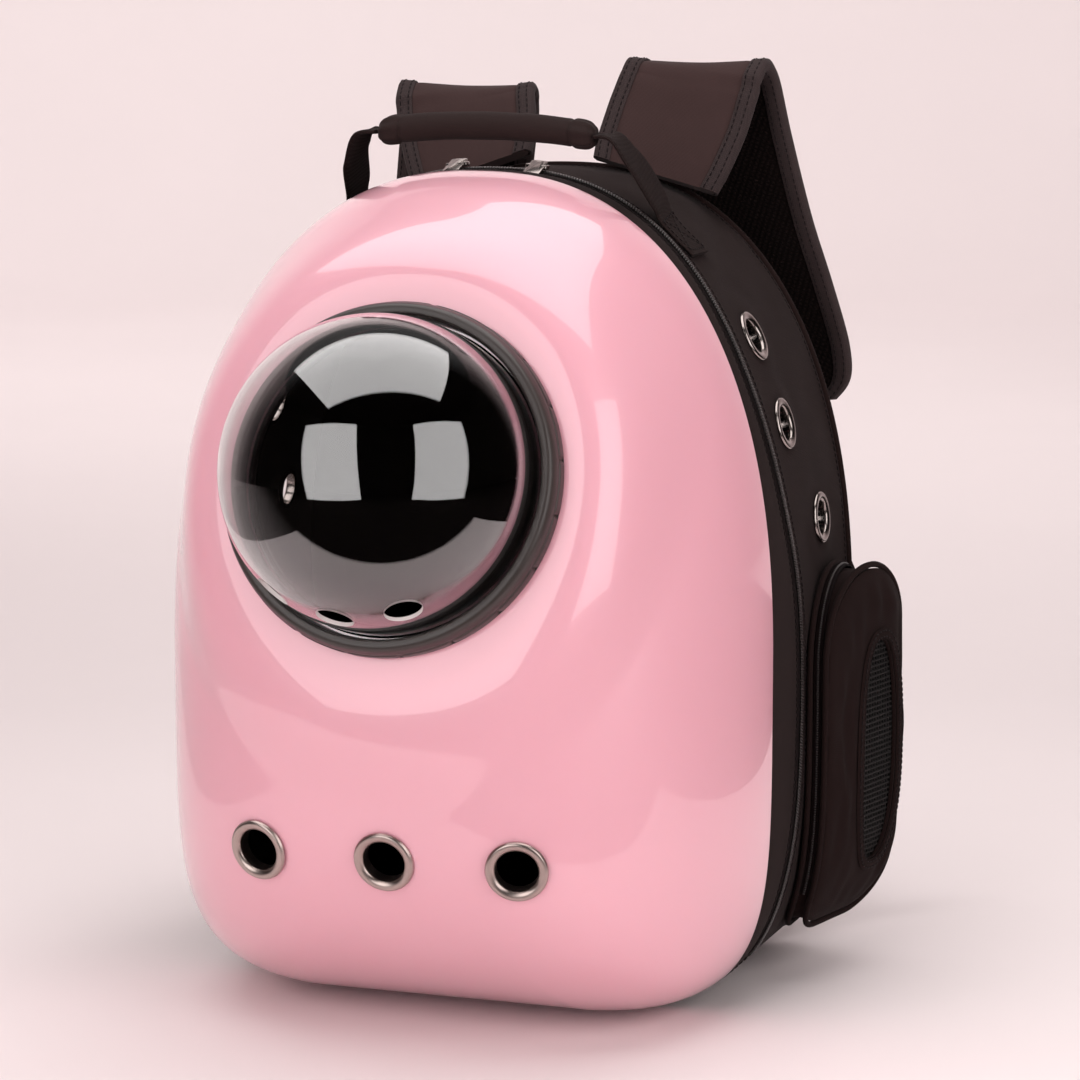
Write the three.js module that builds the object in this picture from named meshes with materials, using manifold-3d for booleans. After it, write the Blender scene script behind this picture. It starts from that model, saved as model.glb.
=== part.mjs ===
// Pet carrier backpack: a moulded front door with a clear dome, zipped to a cloth tub.
// Millimetres, +Z up, -Y is the front and +Y the wearer's side. Until the last lines Y = 0 is the
// rear edge of the moulded shell. Those lines move the origin to the middle of the flat base.
import * as THREE from 'three';
import { mergeVertices } from 'three/addons/utils/BufferGeometryUtils.js';
import Module from 'manifold-3d';

const manifold = await Module();
manifold.setup();

// Driving dimensions
const gap = 0.3; // between pieces that touch

const bag = {
  height: 420,
  halfWidth: 154,
  widestAt: 176, // height of the widest place
  topPower: 2.37, // roundness of the outline above the widest place
  bottomPower: 4.9, // and below it
  baseCut: 1.2, // how much of the round bottom the flat base takes away
  tubDepth: 145,
  topSag: 7, // how much lower the cloth top is at the back
};

const shell = {
  depth: 140,
  wall: 2,
  crestAt: 175, // height of the foremost point
  facePower: 3.2, // flatness of the face
  edgePower: 1.75, // fullness of its turn towards the edge
};

const ring = {
  at: 285.5, // height of the window's centre
  radius: 85.5,
  inner: 77.2,
  thickness: 14,
  sink: 15.7, // the flat seat lies this far behind the crown of the shell
  lean: 2, // degrees that the seat leans back past the shell's own slope
  seatMargin: 2.5,
  seatBlend: 46, // width of the soft step from the seat to the shell's own curve
  seatBlendBelow: 34, // how much wider it is straight below the seat
};

// Section of the window ring: how far in from its outside, in shares of its width, and how far up
// from its seat, in shares of its thickness
const ringSection = [
  { inward: 0, up: 0.6 },
  { inward: 0.19, up: 0.86 },
  { inward: 0.48, up: 1 },
  { inward: 0.73, up: 0.97 },
  { inward: 0.81, up: 0.79 },
  { inward: 1, up: 0.73 },
];

const dome = {
  radius: 75.5,
  wall: 2,
  skirt: 22, // straight wall below the half sphere
  flange: 5,
  flangeThickness: 2.4,
  opening: 72, // radius of the hole in the shell
  ventRadius: 9.2,
  ventMiddle: -4.7, // degrees from straight down to the middle one of three
  ventStep: 27.4, // degrees from one to the next
  ventLift: 15.8, // degrees up from the half sphere's rim
};

const frontEyelet = {
  radius: 15.5,
  hole: 10.4,
  neck: 11.8,
  rise: 2.6,
  washer: 1,
  washerRadius: 13,
  play: 3, // room for the curve of the wall
  across: 66.4,
  at: 98.4,
};
const sideEyelet = {
  radius: 13.4,
  hole: 8.6,
  neck: 9.8,
  rise: 2,
  washer: 0.9,
  washerRadius: 11.6,
  play: 1.4,
};

const band = { wall: 3 };
const zip = { width: 12, tape: 1.6, chainWidth: 4.4, chainRise: 1.4, endHeight: 24 };
const gusset = { wall: 2.2 };
const backPanel = { thickness: 9, crown: 3, rounding: 22 };
const piping = { radius: 2 };

const slider = { across: 21, length: 11, width: 8.5, height: 3.6, wall: 1.2 };
const pull = {
  length: 19,
  width: 7,
  thickness: 1.3,
  corner: 2,
  holeWidth: 3,
  holeLength: 3,
  holeInset: 3,
  overlap: 5, // how far it reaches back over the slider
};

const handle = {
  gripLength: 114,
  gripHeight: 15,
  gripDepth: 20,
  lean: 12, // how far behind the shell's edge the grip stands
  above: 17.5, // centre of the grip above the bag's top
  arch: 4,
  webbing: 25,
  webbingWall: 2,
  footAcross: 84,
  footDepth: 43,
  footLength: 16,
};

// Way of the handle's webbing: steps from the grip's end and from the foot, in shares of its width
const gripSteps = [
  { across: 0, back: 0, up: 0 },
  { across: 0.32, back: 0.02, up: -0.02 },
  { across: 0.64, back: 0.32, up: -0.48 },
];
const footSteps = [
  { across: -0.16, back: -0.16, up: 0.5 },
  { across: 0, back: 0, up: 0.06 },
];

const strap = {
  width: 75,
  thickness: 6,
  binding: 8.5,
  bindingWall: 1,
  webbing: 25,
  webbingWall: 1.8,
  webbingLean: 0.06,
  rightRise: 66, // height of the fold above the strap's root, on the side that stands taller
  leftRise: 50,
};

const adjuster = { width: 34, length: 20, thickness: 4, bar: 3.5, corner: 3 };

const pocket = {
  front: bag.tubDepth - 83,
  back: bag.tubDepth - 8,
  bottom: 31,
  top: 212,
  thin: 13, // thickness along the front edge
  thick: 31, // and along the back edge
  lift: 0.7, // the flat facets of the pocket stand this far off the curved side
  crown: 3,
  wall: 1.6,
  edgeDrop: 1.5, // how far the face's edge falls below the face
  piping: 1.6,
  zipWidth: 4.4,
  zipRise: 1.2,
  zipFoot: 16, // height of the zip's lower end above the pocket's
};

const pocketWindow = {
  centreDepth: bag.tubDepth - 38,
  centreHeight: 117,
  width: 34,
  height: 116,
  power: 2.5, // roundness of the oval
  overlap: 4,
  wall: 0.8,
  trim: 6,
  trimWall: 1,
  trimInset: 0.6,
  slack: 0.6, // room for the facets of the face
};

const net = {
  front: bag.tubDepth - 83,
  back: bag.tubDepth - 5,
  bottom: 28,
  top: 202,
  bulge: 50,
  wall: 1.5,
  hem: 11,
  hemWall: 2.4,
  lift: 0.9,
};

// Materials
function material(color, roughness, metalness = 0) {
  return new THREE.MeshStandardMaterial({ color, roughness, metalness });
}

const pinkPlastic = material('#edaeb9', 0.12);
const clearAcrylic = new THREE.MeshStandardMaterial({
  color: '#f4f2f2',
  roughness: 0.03,
  transparent: true,
  opacity: 0.25,
});
const blackRubber = material('#3c3535', 0.5);
const gunmetal = material('#81706a', 0.3, 1);
const nickel = material('#a9a3a0', 0.25, 1);
const blackNeoprene = material('#2a2122', 0.75);
const blackNylon = material('#2d2323', 0.85);
const strapCloth = material('#3c2f2e', 0.85);
const blackWebbing = material('#221a1a', 0.8);
const zipNylon = material('#1a1515', 0.6);
const blackMesh = material('#1c1817', 0.9);
const blackAcetal = material('#1e1a1a', 0.45);

// Closed geometry from points and triangles, turned so that its faces point out
function closedGeometry(points, triangles) {
  const raw = new THREE.BufferGeometry().setFromPoints(points);
  raw.setIndex(triangles.flat());
  const merged = mergeVertices(raw, 1e-5);
  const place = merged.getAttribute('position');
  const corner = (index) => new THREE.Vector3().fromBufferAttribute(place, index);
  const kept = [];
  let volume = 0;
  for (let at = 0; at < merged.index.count; at += 3) {
    const [a, b, c] = [0, 1, 2].map((step) => merged.index.getX(at + step));
    if (a !== b && b !== c && c !== a) {
      kept.push([a, b, c]);
      volume += corner(a).dot(corner(b).cross(corner(c)));
    }
  }
  merged.setIndex(kept.flatMap(([a, b, c]) => (volume > 0 ? [a, b, c] : [a, c, b])));
  merged.computeVertexNormals();
  return merged;
}

// Triangles that close a ring of points, flat or nearly so
function capTriangles(points) {
  const normal = new THREE.Vector3();
  points.forEach((point, index) => {
    normal.add(point.clone().cross(points[(index + 1) % points.length]));
  });
  const turn = new THREE.Quaternion().setFromUnitVectors(normal.normalize(), new THREE.Vector3(0, 0, 1));
  const flat = points.map((point) => {
    const turned = point.clone().applyQuaternion(turn);
    return new THREE.Vector2(turned.x, turned.y);
  });
  return THREE.ShapeUtils.triangulateShape(flat, []);
}

// Skin through rings of points, either capped at its two ends or closed on itself
function loft(sections, loop = false) {
  const count = sections[0].length;
  const triangles = [];
  const spans = loop ? sections.length : sections.length - 1;
  for (let row = 0; row < spans; row += 1) {
    const here = row * count;
    const next = ((row + 1) % sections.length) * count;
    for (let column = 0; column < count; column += 1) {
      const beside = (column + 1) % count;
      triangles.push([here + column, here + beside, next + beside]);
      triangles.push([here + column, next + beside, next + column]);
    }
  }
  if (!loop) {
    const last = (sections.length - 1) * count;
    capTriangles(sections[0]).forEach(([a, b, c]) => triangles.push([c, b, a]));
    capTriangles(sections.at(-1)).forEach(([a, b, c]) => triangles.push([last + a, last + b, last + c]));
  }
  return closedGeometry(sections.flat(), triangles);
}

function toSolid(geometry) {
  const bare = new THREE.BufferGeometry();
  bare.setAttribute('position', geometry.getAttribute('position').clone());
  bare.setIndex(geometry.index ? geometry.index.clone() : null);
  const merged = mergeVertices(bare, 1e-4);
  return new manifold.Manifold(new manifold.Mesh({
    numProp: 3,
    vertProperties: new Float32Array(merged.getAttribute('position').array),
    triVerts: new Uint32Array(merged.index.array),
  }));
}

function fromSolid(solid) {
  const mesh = solid.getMesh();
  const geometry = new THREE.BufferGeometry();
  geometry.setAttribute('position', new THREE.Float32BufferAttribute(mesh.vertProperties, 3));
  geometry.setIndex(Array.from(mesh.triVerts));
  geometry.computeVertexNormals();
  return geometry;
}

function cut(geometry, tools) {
  return fromSolid(tools.reduce((body, tool) => body.subtract(toSolid(tool)), toSolid(geometry)));
}

// A round drill through any wall of the bag, centred at a point and turned along an axis
function drill(centre, axis, radius, sides) {
  const length = 30;
  const turn = new THREE.Quaternion().setFromUnitVectors(new THREE.Vector3(0, 1, 0), axis);
  const tool = new THREE.CylinderGeometry(radius, radius, length, sides);
  return tool.applyQuaternion(turn).translate(centre.x, centre.y, centre.z);
}

function piece(name, geometry, finish) {
  const mesh = new THREE.Mesh(geometry, finish);
  mesh.name = name;
  return mesh;
}

function lathe(profile, segments) {
  const points = profile.map(([radius, height]) => new THREE.Vector2(radius, height));
  const turned = new THREE.LatheGeometry(points, segments);
  return closedGeometry(
    Array.from({ length: turned.getAttribute('position').count }, (_, index) => (
      new THREE.Vector3().fromBufferAttribute(turned.getAttribute('position'), index)
    )),
    [Array.from(turned.index.array)],
  );
}

function smoothStep(share) {
  const t = THREE.MathUtils.clamp(share, 0, 1);
  return t * t * (3 - 2 * t);
}

// A root of a rising function between two ends
function solve(rises, low, high) {
  let [under, over] = [low, high];
  for (let step = 0; step < 45; step += 1) {
    const middle = (under + over) / 2;
    [under, over] = rises(middle) < 0 ? [middle, over] : [under, middle];
  }
  return (under + over) / 2;
}

// Outline of the bag seen from the front, as a point and an outward direction at an angle
function rimAt(angle) {
  const across = Math.cos(angle);
  const along = Math.sin(angle);
  const power = along >= 0 ? bag.topPower : bag.bottomPower;
  const reach = along >= 0 ? bag.height - bag.widestAt : bag.widestAt + bag.baseCut;
  const sum = Math.abs(across / bag.halfWidth) ** power + Math.abs(along / reach) ** power;
  const radius = sum ** (-1 / power);
  const x = radius * across;
  const z = bag.widestAt + radius * along;
  if (z <= 0) {
    return { x: x, z: 0, nx: 0, nz: -1 };
  }
  const nx = Math.sign(across) * Math.abs(x / bag.halfWidth) ** (power - 1) / bag.halfWidth;
  const nz = Math.sign(along) * Math.abs((z - bag.widestAt) / reach) ** (power - 1) / reach;
  const length = Math.hypot(nx, nz);
  return { x: x, z: z, nx: nx / length, nz: nz / length };
}

// Angles that share the outline out evenly, from the middle of the base round to it again
function evenAngles(count) {
  const fine = 1440;
  const lengths = [0];
  const angleOf = (step) => -Math.PI / 2 + (2 * Math.PI * step) / fine;
  for (let step = 1; step <= fine; step += 1) {
    const here = rimAt(angleOf(step));
    const before = rimAt(angleOf(step - 1));
    lengths.push(lengths[step - 1] + Math.hypot(here.x - before.x, here.z - before.z));
  }
  return Array.from({ length: count }, (_, index) => {
    const wanted = ((index + 0.5) / count) * lengths[fine];
    const step = lengths.findIndex((length) => length >= wanted);
    const share = (wanted - lengths[step - 1]) / (lengths[step] - lengths[step - 1]);
    return angleOf(step - 1 + share);
  });
}

const rim = evenAngles(40).map(rimAt);

// Right-hand side of the outline at a height
function rimAtHeight(height) {
  return rimAt(solve((angle) => rimAt(angle).z - height, -Math.PI / 2.2, Math.PI / 2));
}

// Top of the outline at a distance to the right
function rimAtAcross(across) {
  return rimAt(solve((angle) => across - rimAt(angle).x, 0, Math.PI));
}

// Share of its height that the cloth body keeps at a depth
function sagAt(depth) {
  return 1 - (bag.topSag / bag.height) * (Math.max(0, depth) / bag.tubDepth);
}

// A point of the cloth body: at a place on the outline, at a depth, and off the outline by an amount
function tubPoint(place, depth, off = 0) {
  const height = (place.z + place.nz * off) * sagAt(depth);
  return new THREE.Vector3(place.x + place.nx * off, depth, Math.max(0, height));
}

// Depth of the zip behind the shell's edge, as shares of the bag's height and the tub's depth
const zipLine = [
  { height: 0, depth: 0.165 },
  { height: 0.06, depth: 0.18 },
  { height: 0.12, depth: 0.235 },
  { height: 0.23, depth: 0.325 },
  { height: 0.38, depth: 0.355 },
  { height: 0.5, depth: 0.315 },
  { height: 0.62, depth: 0.215 },
  { height: 0.75, depth: 0.145 },
  { height: 0.83, depth: 0.135 },
  { height: 1, depth: 0.185 },
];
const zipCurve = new THREE.CatmullRomCurve3(
  zipLine.map((row) => new THREE.Vector3(row.height * bag.height, row.depth * bag.tubDepth, 0)),
);

function zipDepth(height) {
  const inside = THREE.MathUtils.clamp(height, 0, bag.height);
  return zipCurve.getPoint(solve((share) => zipCurve.getPoint(share).x - inside, 0, 1)).y;
}

// Share of the way from the shell's crest to its edge, at a place seen from the front
function crestShare(x, z, inset) {
  const edge = (share) => {
    const across = Math.abs(x / share) / (bag.halfWidth - inset);
    const height = shell.crestAt + (z - shell.crestAt) / share - bag.widestAt;
    const upper = height >= 0;
    const power = upper ? bag.topPower : bag.bottomPower;
    const reach = (upper ? bag.height - bag.widestAt : bag.widestAt + bag.baseCut) - inset;
    return 1 - across ** power - Math.abs(height / reach) ** power;
  };
  const round = solve(edge, 1e-3, 1.5);
  return Math.min(1, Math.max(round, (shell.crestAt - z) / (shell.crestAt - inset)));
}

function domedDepth(x, z, inset) {
  const share = crestShare(x, z, inset);
  return -(Math.max(0, 1 - share ** shell.facePower) ** (1 / shell.edgePower)) * (shell.depth - inset);
}

// Window frame: its centre lies on the flat seat, its axis points out of the shell
const seatRise = domedDepth(0, ring.at + ring.radius, 0) - domedDepth(0, ring.at - ring.radius, 0);
const tilt = Math.atan2(seatRise, 2 * ring.radius) + THREE.MathUtils.degToRad(ring.lean);
const windowAxis = new THREE.Vector3(0, -Math.cos(tilt), Math.sin(tilt));
const windowUp = new THREE.Vector3(0, Math.sin(tilt), Math.cos(tilt));
const crown = new THREE.Vector3(0, domedDepth(0, ring.at, 0), ring.at);
const windowCentre = crown.clone().addScaledVector(windowAxis, -ring.sink);

// Depth of the shell's surface, with the flat seat for the window ring blended in
function faceDepth(x, z, inset = 0) {
  const rise = (z - windowCentre.z) / Math.cos(tilt);
  const away = Math.hypot(x, rise);
  const below = Math.max(0, -rise) / Math.max(1, away);
  const blend = ring.seatBlend + ring.seatBlendBelow * below ** 2;
  const off = away - ring.radius - ring.seatMargin;
  const flat = windowCentre.y + (z - windowCentre.z) * Math.tan(tilt) + inset / Math.cos(tilt);
  return THREE.MathUtils.lerp(flat, domedDepth(x, z, inset), smoothStep(off / blend));
}

function faceNormal(x, z) {
  const step = 0.5;
  const slopeX = (faceDepth(x + step, z) - faceDepth(x - step, z)) / (2 * step);
  const slopeZ = (faceDepth(x, z + step) - faceDepth(x, z - step)) / (2 * step);
  return new THREE.Vector3(slopeX, -1, slopeZ).normalize();
}

// Moulded shell: rings of points from the window's hole to the rear edge, outside then inside
function shellSurface(inset) {
  const steps = 8;
  const circle = (radius) => rim.map((place) => {
    const angle = Math.atan2((place.z - windowCentre.z) / Math.cos(tilt), place.x);
    const x = radius * Math.cos(angle);
    const z = windowCentre.z + radius * Math.sin(angle) * Math.cos(tilt);
    return new THREE.Vector3(x, faceDepth(x, z, inset), z);
  });
  const seatEdge = circle(ring.radius + ring.seatMargin);
  const outer = Array.from({ length: steps }, (_, index) => {
    const share = Math.sin((((index + 1) / steps) * Math.PI) / 2);
    return rim.map((place, column) => {
      const x = THREE.MathUtils.lerp(seatEdge[column].x, place.x - place.nx * inset, share);
      const z = THREE.MathUtils.lerp(seatEdge[column].z, place.z - place.nz * inset, share);
      return new THREE.Vector3(x, index === steps - 1 ? 0 : faceDepth(x, z, inset), z);
    });
  });
  return [circle(dome.opening), seatEdge, ...outer];
}

const frontHoles = [-1, 0, 1].map((side) => {
  const x = side * frontEyelet.across;
  const centre = new THREE.Vector3(x, faceDepth(x, frontEyelet.at), frontEyelet.at);
  return { centre: centre, axis: faceNormal(x, frontEyelet.at) };
});

function moulding() {
  const body = loft([...shellSurface(0), ...shellSurface(shell.wall).reverse()], true);
  return cut(body, frontHoles.map(({ centre, axis }) => drill(centre, axis, frontEyelet.neck + gap, 18)));
}

// Window ring and dome, turned about the window's axis
function windowGroup() {
  const group = new THREE.Group();
  group.position.copy(windowCentre);
  group.quaternion.setFromRotationMatrix(new THREE.Matrix4().makeBasis(
    new THREE.Vector3(1, 0, 0),
    windowAxis,
    new THREE.Vector3(1, 0, 0).cross(windowAxis),
  ));
  const flangeEdge = dome.radius + dome.flange;
  const flangeTop = gap + dome.flangeThickness;
  const ringProfile = [
    [ring.radius, gap],
    ...ringSection.map((row) => [
      THREE.MathUtils.lerp(ring.radius, ring.inner, row.inward),
      row.up * ring.thickness,
    ]),
    [ring.inner, flangeTop + gap],
    [flangeEdge + 2 * gap, flangeTop + gap],
    [flangeEdge + 2 * gap, gap],
    [ring.radius, gap],
  ];
  group.add(piece('window_ring', lathe(ringProfile, 31), blackRubber));

  const arc = (radius, steps) => Array.from({ length: steps + 1 }, (_, index) => {
    const angle = (index / steps) * (Math.PI / 2);
    return [index === steps ? 0 : radius * Math.cos(angle), dome.skirt + radius * Math.sin(angle)];
  });
  const inside = dome.radius - dome.wall;
  const domeProfile = [
    [inside, gap],
    [flangeEdge, gap],
    [flangeEdge, flangeTop],
    [dome.radius, flangeTop],
    ...arc(dome.radius, 7),
    ...arc(inside, 6).reverse(),
    [inside, gap],
  ];
  const vents = [-1, 0, 1].map((step) => {
    const angle = THREE.MathUtils.degToRad(dome.ventMiddle + dome.ventStep * step);
    const fromPole = THREE.MathUtils.degToRad(90 - dome.ventLift);
    const axis = new THREE.Vector3().setFromSphericalCoords(1, fromPole, angle);
    const centre = axis.clone().multiplyScalar(dome.radius).add(new THREE.Vector3(0, dome.skirt, 0));
    return drill(centre, axis, dome.ventRadius, 12);
  });
  group.add(piece('dome', cut(lathe(domeProfile, 24), vents), clearAcrylic));
  return group;
}

// Metal eyelet, set through a wall whose outside is at height 0
function eyeletGeometry(size, wall, segments) {
  const back = -wall - size.play;
  return lathe([
    [size.hole, back - size.washer],
    [size.washerRadius, back - size.washer],
    [size.washerRadius, back],
    [size.neck, back],
    [size.neck, gap],
    [size.radius, gap],
    [THREE.MathUtils.lerp(size.hole, size.radius, 0.6), size.rise],
    [size.hole, size.rise / 2],
    [size.hole, back - size.washer],
  ], segments);
}

function eyelet(name, size, wall, hole, segments, finish) {
  const mesh = piece(name, eyeletGeometry(size, wall, segments), finish);
  mesh.position.copy(hole.centre);
  mesh.quaternion.setFromUnitVectors(new THREE.Vector3(0, 1, 0), hole.axis);
  return mesh;
}

// Eyelets along each side of the tub, as shares of the tub's depth and the bag's height
const sideRows = [
  { depth: 0.38, height: 0.805 },
  { depth: 0.4, height: 0.7 },
  { depth: 0.655, height: 0.576 },
];
const sideHoles = [1, -1].flatMap((side) => sideRows.map((row, index) => {
  const place = rimAtHeight(row.height * bag.height);
  const centre = tubPoint(place, row.depth * bag.tubDepth);
  centre.x *= side;
  return {
    name: `side_eyelet_${side > 0 ? 'right' : 'left'}_${index + 1}`,
    centre: centre,
    axis: new THREE.Vector3(place.nx * side, 0, place.nz).normalize(),
  };
}));

// Cloth body: front band, zip, hinge strip, gusset, piping and padded back
const zipHalf = zip.width / 2;
const clothEnd = bag.tubDepth - 2 * piping.radius - gap;

function frontBand() {
  return loft(rim.map((place) => {
    const end = zipDepth(place.z) - zipHalf - gap;
    return [
      tubPoint(place, gap, -band.wall),
      tubPoint(place, gap, 0),
      tubPoint(place, end, 0),
      tubPoint(place, end, -band.wall),
    ];
  }), true);
}

// Section of the zip or of the hinge strip at each place on the outline
function chainSection(place) {
  const middle = zipDepth(place.z);
  const chain = zip.chainWidth / 2;
  return [
    tubPoint(place, middle - zipHalf, -zip.tape),
    tubPoint(place, middle - zipHalf, 0),
    tubPoint(place, middle - chain, 0),
    tubPoint(place, middle, zip.chainRise),
    tubPoint(place, middle + chain, 0),
    tubPoint(place, middle + zipHalf, 0),
    tubPoint(place, middle + zipHalf, -zip.tape),
  ];
}

function hingeSection(place) {
  const middle = zipDepth(place.z);
  return [
    tubPoint(place, middle - zipHalf, -gusset.wall),
    tubPoint(place, middle - zipHalf, 0),
    tubPoint(place, middle + zipHalf, 0),
    tubPoint(place, middle + zipHalf, -gusset.wall),
  ];
}

// Part way from one section to the next, on the same flat facets
function between(section, next, share) {
  return section.map((point, index) => point.clone().lerp(next[index], share));
}

const zipFirst = rim.findIndex((place) => place.z > zip.endHeight);
const zipLast = rim.length - 1 - zipFirst;
const zipJoint = 0.5; // where the zip ends between two samples

function zipChain() {
  const rows = rim.map(chainSection);
  return loft([
    between(rows[zipFirst], rows[zipFirst - 1], zipJoint),
    ...rows.slice(zipFirst, zipLast + 1),
    between(rows[zipLast], rows[zipLast + 1], zipJoint),
  ]);
}

function hingeStrip() {
  const rows = rim.map(hingeSection);
  const span = rows[zipFirst][0].distanceTo(rows[zipFirst - 1][0]);
  const joint = 1 - zipJoint - gap / span;
  return loft([
    between(rows[zipLast + 1], rows[zipLast], joint),
    ...rows.slice(zipLast + 1),
    ...rows.slice(0, zipFirst),
    between(rows[zipFirst - 1], rows[zipFirst], joint),
  ]);
}

function gussetWall() {
  const body = loft(rim.map((place) => {
    const start = zipDepth(place.z) + zipHalf + gap;
    const depths = [0, 0.5, 1].map((share) => THREE.MathUtils.lerp(start, clothEnd, share));
    return [
      ...depths.map((depth) => tubPoint(place, depth, 0)),
      ...depths.reverse().map((depth) => tubPoint(place, depth, -gusset.wall)),
    ];
  }), true);
  const radius = sideEyelet.neck + 2 * gap;
  return cut(body, sideHoles.map(({ centre, axis }) => drill(centre, axis, radius, 12)));
}

function backPiping() {
  const sides = 5;
  return loft(rim.map((place) => Array.from({ length: sides }, (_, index) => {
    const angle = ((index + 0.5) / sides) * 2 * Math.PI;
    const depth = bag.tubDepth - piping.radius + piping.radius * Math.cos(angle);
    return tubPoint(place, depth, piping.radius * Math.sin(angle));
  })), true);
}

// Padded back: a flat front, and a rear that is flat in its middle and rounds off to the edge
function paddedBack() {
  const margin = Math.max(gusset.wall, piping.radius) + gap;
  const front = bag.tubDepth - backPanel.thickness;
  const middle = new THREE.Vector3(0, 0, bag.widestAt);
  const at = (place, depth, shrink) => {
    const edge = tubPoint(place, bag.tubDepth, -margin);
    const level = middle.clone().setY(edge.y);
    return edge.lerp(level, shrink).setY(depth);
  };
  const core = 0.9; // the caps close what is left of the outline here
  const rounded = backPanel.rounding / bag.halfWidth;
  const rows = [
    { depth: front, shrink: core },
    { depth: front, shrink: 0 },
    { depth: bag.tubDepth - 1, shrink: 0 },
    { depth: bag.tubDepth + backPanel.crown * 0.6, shrink: rounded / 2 },
    { depth: bag.tubDepth + backPanel.crown, shrink: rounded },
    { depth: bag.tubDepth + backPanel.crown, shrink: core },
  ];
  return loft(rows.map((row) => rim.map((place) => at(place, row.depth, row.shrink))));
}

// Zip sliders on top of the chain, each with a pull that lies towards the shell
function sliderGroup(side) {
  const name = side > 0 ? 'right' : 'left';
  const place = rimAtAcross(slider.across * side);
  const depth = zipDepth(place.z);
  const group = new THREE.Group();
  group.position.copy(tubPoint(place, depth, zip.chainRise + gap));
  group.rotation.y = Math.atan2(place.nx, place.nz);
  const half = slider.width / 2;
  const outline = new THREE.Shape();
  outline.moveTo(-slider.length / 2, -half * 0.8);
  outline.lineTo(0, -half);
  outline.lineTo(slider.length / 2, -half * 0.6);
  outline.lineTo(slider.length / 2, half * 0.6);
  outline.lineTo(0, half);
  outline.lineTo(-slider.length / 2, half * 0.8);
  outline.closePath();
  const body = new THREE.ExtrudeGeometry(outline, {
    depth: slider.height - slider.wall,
    bevelEnabled: false,
  });
  group.add(piece(`zip_slider_${name}`, welded(body), nickel));

  const plate = new THREE.Shape();
  const reach = pull.length / 2;
  const flank = pull.width / 2;
  plate.moveTo(-flank, -reach);
  plate.lineTo(flank, -reach);
  plate.lineTo(flank, reach - pull.corner);
  plate.lineTo(flank - pull.corner, reach);
  plate.lineTo(pull.corner - flank, reach);
  plate.lineTo(-flank, reach - pull.corner);
  plate.closePath();
  const slot = new THREE.Path();
  const slotTop = reach - pull.holeInset;
  slot.moveTo(-pull.holeWidth / 2, slotTop - pull.holeLength);
  slot.lineTo(pull.holeWidth / 2, slotTop - pull.holeLength);
  slot.lineTo(pull.holeWidth / 2, slotTop);
  slot.lineTo(-pull.holeWidth / 2, slotTop);
  slot.closePath();
  plate.holes.push(slot);
  const tab = piece(`zip_pull_${name}`, welded(new THREE.ExtrudeGeometry(plate, {
    depth: pull.thickness,
    bevelEnabled: false,
  })), nickel);
  tab.position.set(0, pull.overlap - reach, slider.height - slider.wall + gap);
  group.add(tab);
  return group;
}

function welded(geometry) {
  const bare = new THREE.BufferGeometry();
  bare.setAttribute('position', geometry.getAttribute('position'));
  if (geometry.index) bare.setIndex(geometry.index);
  const merged = mergeVertices(bare, 1e-4);
  merged.computeVertexNormals();
  return merged;
}

// A flat band along a path: rows hold its middle, its own across direction and its width. Its faces
// can break in line with a binding along each edge
function ribbon(rows, thickness, edge = 0) {
  return loft(rows.map((row, index) => {
    const before = rows[Math.max(0, index - 1)].middle;
    const after = rows[Math.min(rows.length - 1, index + 1)].middle;
    const along = after.clone().sub(before).normalize();
    const across = row.across.clone().addScaledVector(along, -row.across.dot(along)).normalize();
    const face = along.clone().cross(across);
    const corner = (u, v) => row.middle.clone()
      .addScaledVector(across, (u * row.width) / 2)
      .addScaledVector(face, (v * thickness) / 2);
    const line = edge > 0 ? [-1, (2 * edge) / row.width - 1, 1 - (2 * edge) / row.width, 1] : [-1, 1];
    return [...line.map((u) => corner(u, -1)), ...line.reverse().map((u) => corner(u, 1))];
  }));
}

// Handle: a padded grip between two webbings that come up from the gusset
function handleGroup() {
  const group = new THREE.Group();
  const base = bag.height + handle.above;
  const half = handle.gripLength / 2;
  const gripRows = [
    { share: -1, size: 0.6 },
    { share: -0.96, size: 0.92 },
    { share: -0.86, size: 0.95 },
    { share: -0.5, size: 1 },
    { share: 0, size: 1 },
    { share: 0.5, size: 1 },
    { share: 0.86, size: 0.95 },
    { share: 0.96, size: 0.92 },
    { share: 1, size: 0.6 },
  ];
  const sides = 10;
  const grip = loft(gripRows.map((row) => Array.from({ length: sides }, (_, index) => {
    const angle = (index / sides) * 2 * Math.PI;
    return new THREE.Vector3(
      row.share * half,
      handle.lean + ((row.size * handle.gripDepth) / 2) * Math.cos(angle),
      base + handle.arch * (1 - row.share ** 2) + ((row.size * handle.gripHeight) / 2) * Math.sin(angle),
    );
  })));
  group.add(piece('handle_grip', grip, strapCloth));

  [-1, 1].forEach((side) => {
    const name = side > 0 ? 'right' : 'left';
    const lift = handle.webbingWall / 2 + gap;
    const step = (row) => (
      new THREE.Vector3(row.across, row.back, row.up).multiplyScalar(handle.webbing)
    );
    const top = new THREE.Vector3(half + 2 * gap, handle.lean, base);
    const foot = tubPoint(rimAtAcross(handle.footAcross), handle.footDepth, lift);
    const footEnd = rimAtAcross(handle.footAcross + handle.footLength);
    const middles = new THREE.CatmullRomCurve3([
      ...gripSteps.map((row) => top.clone().add(step(row))),
      ...footSteps.map((row) => foot.clone().add(step(row))),
      tubPoint(footEnd, handle.footDepth, lift + handle.webbingWall / 2),
    ]);
    const rows = middles.getPoints(11).map((middle) => ({
      middle: middle.multiply(new THREE.Vector3(side, 1, 1)),
      across: new THREE.Vector3(0, 1, 0),
      width: handle.webbing,
    }));
    group.add(piece(`handle_webbing_${name}`, ribbon(rows, handle.webbingWall), blackWebbing));
  });
  return group;
}

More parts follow.
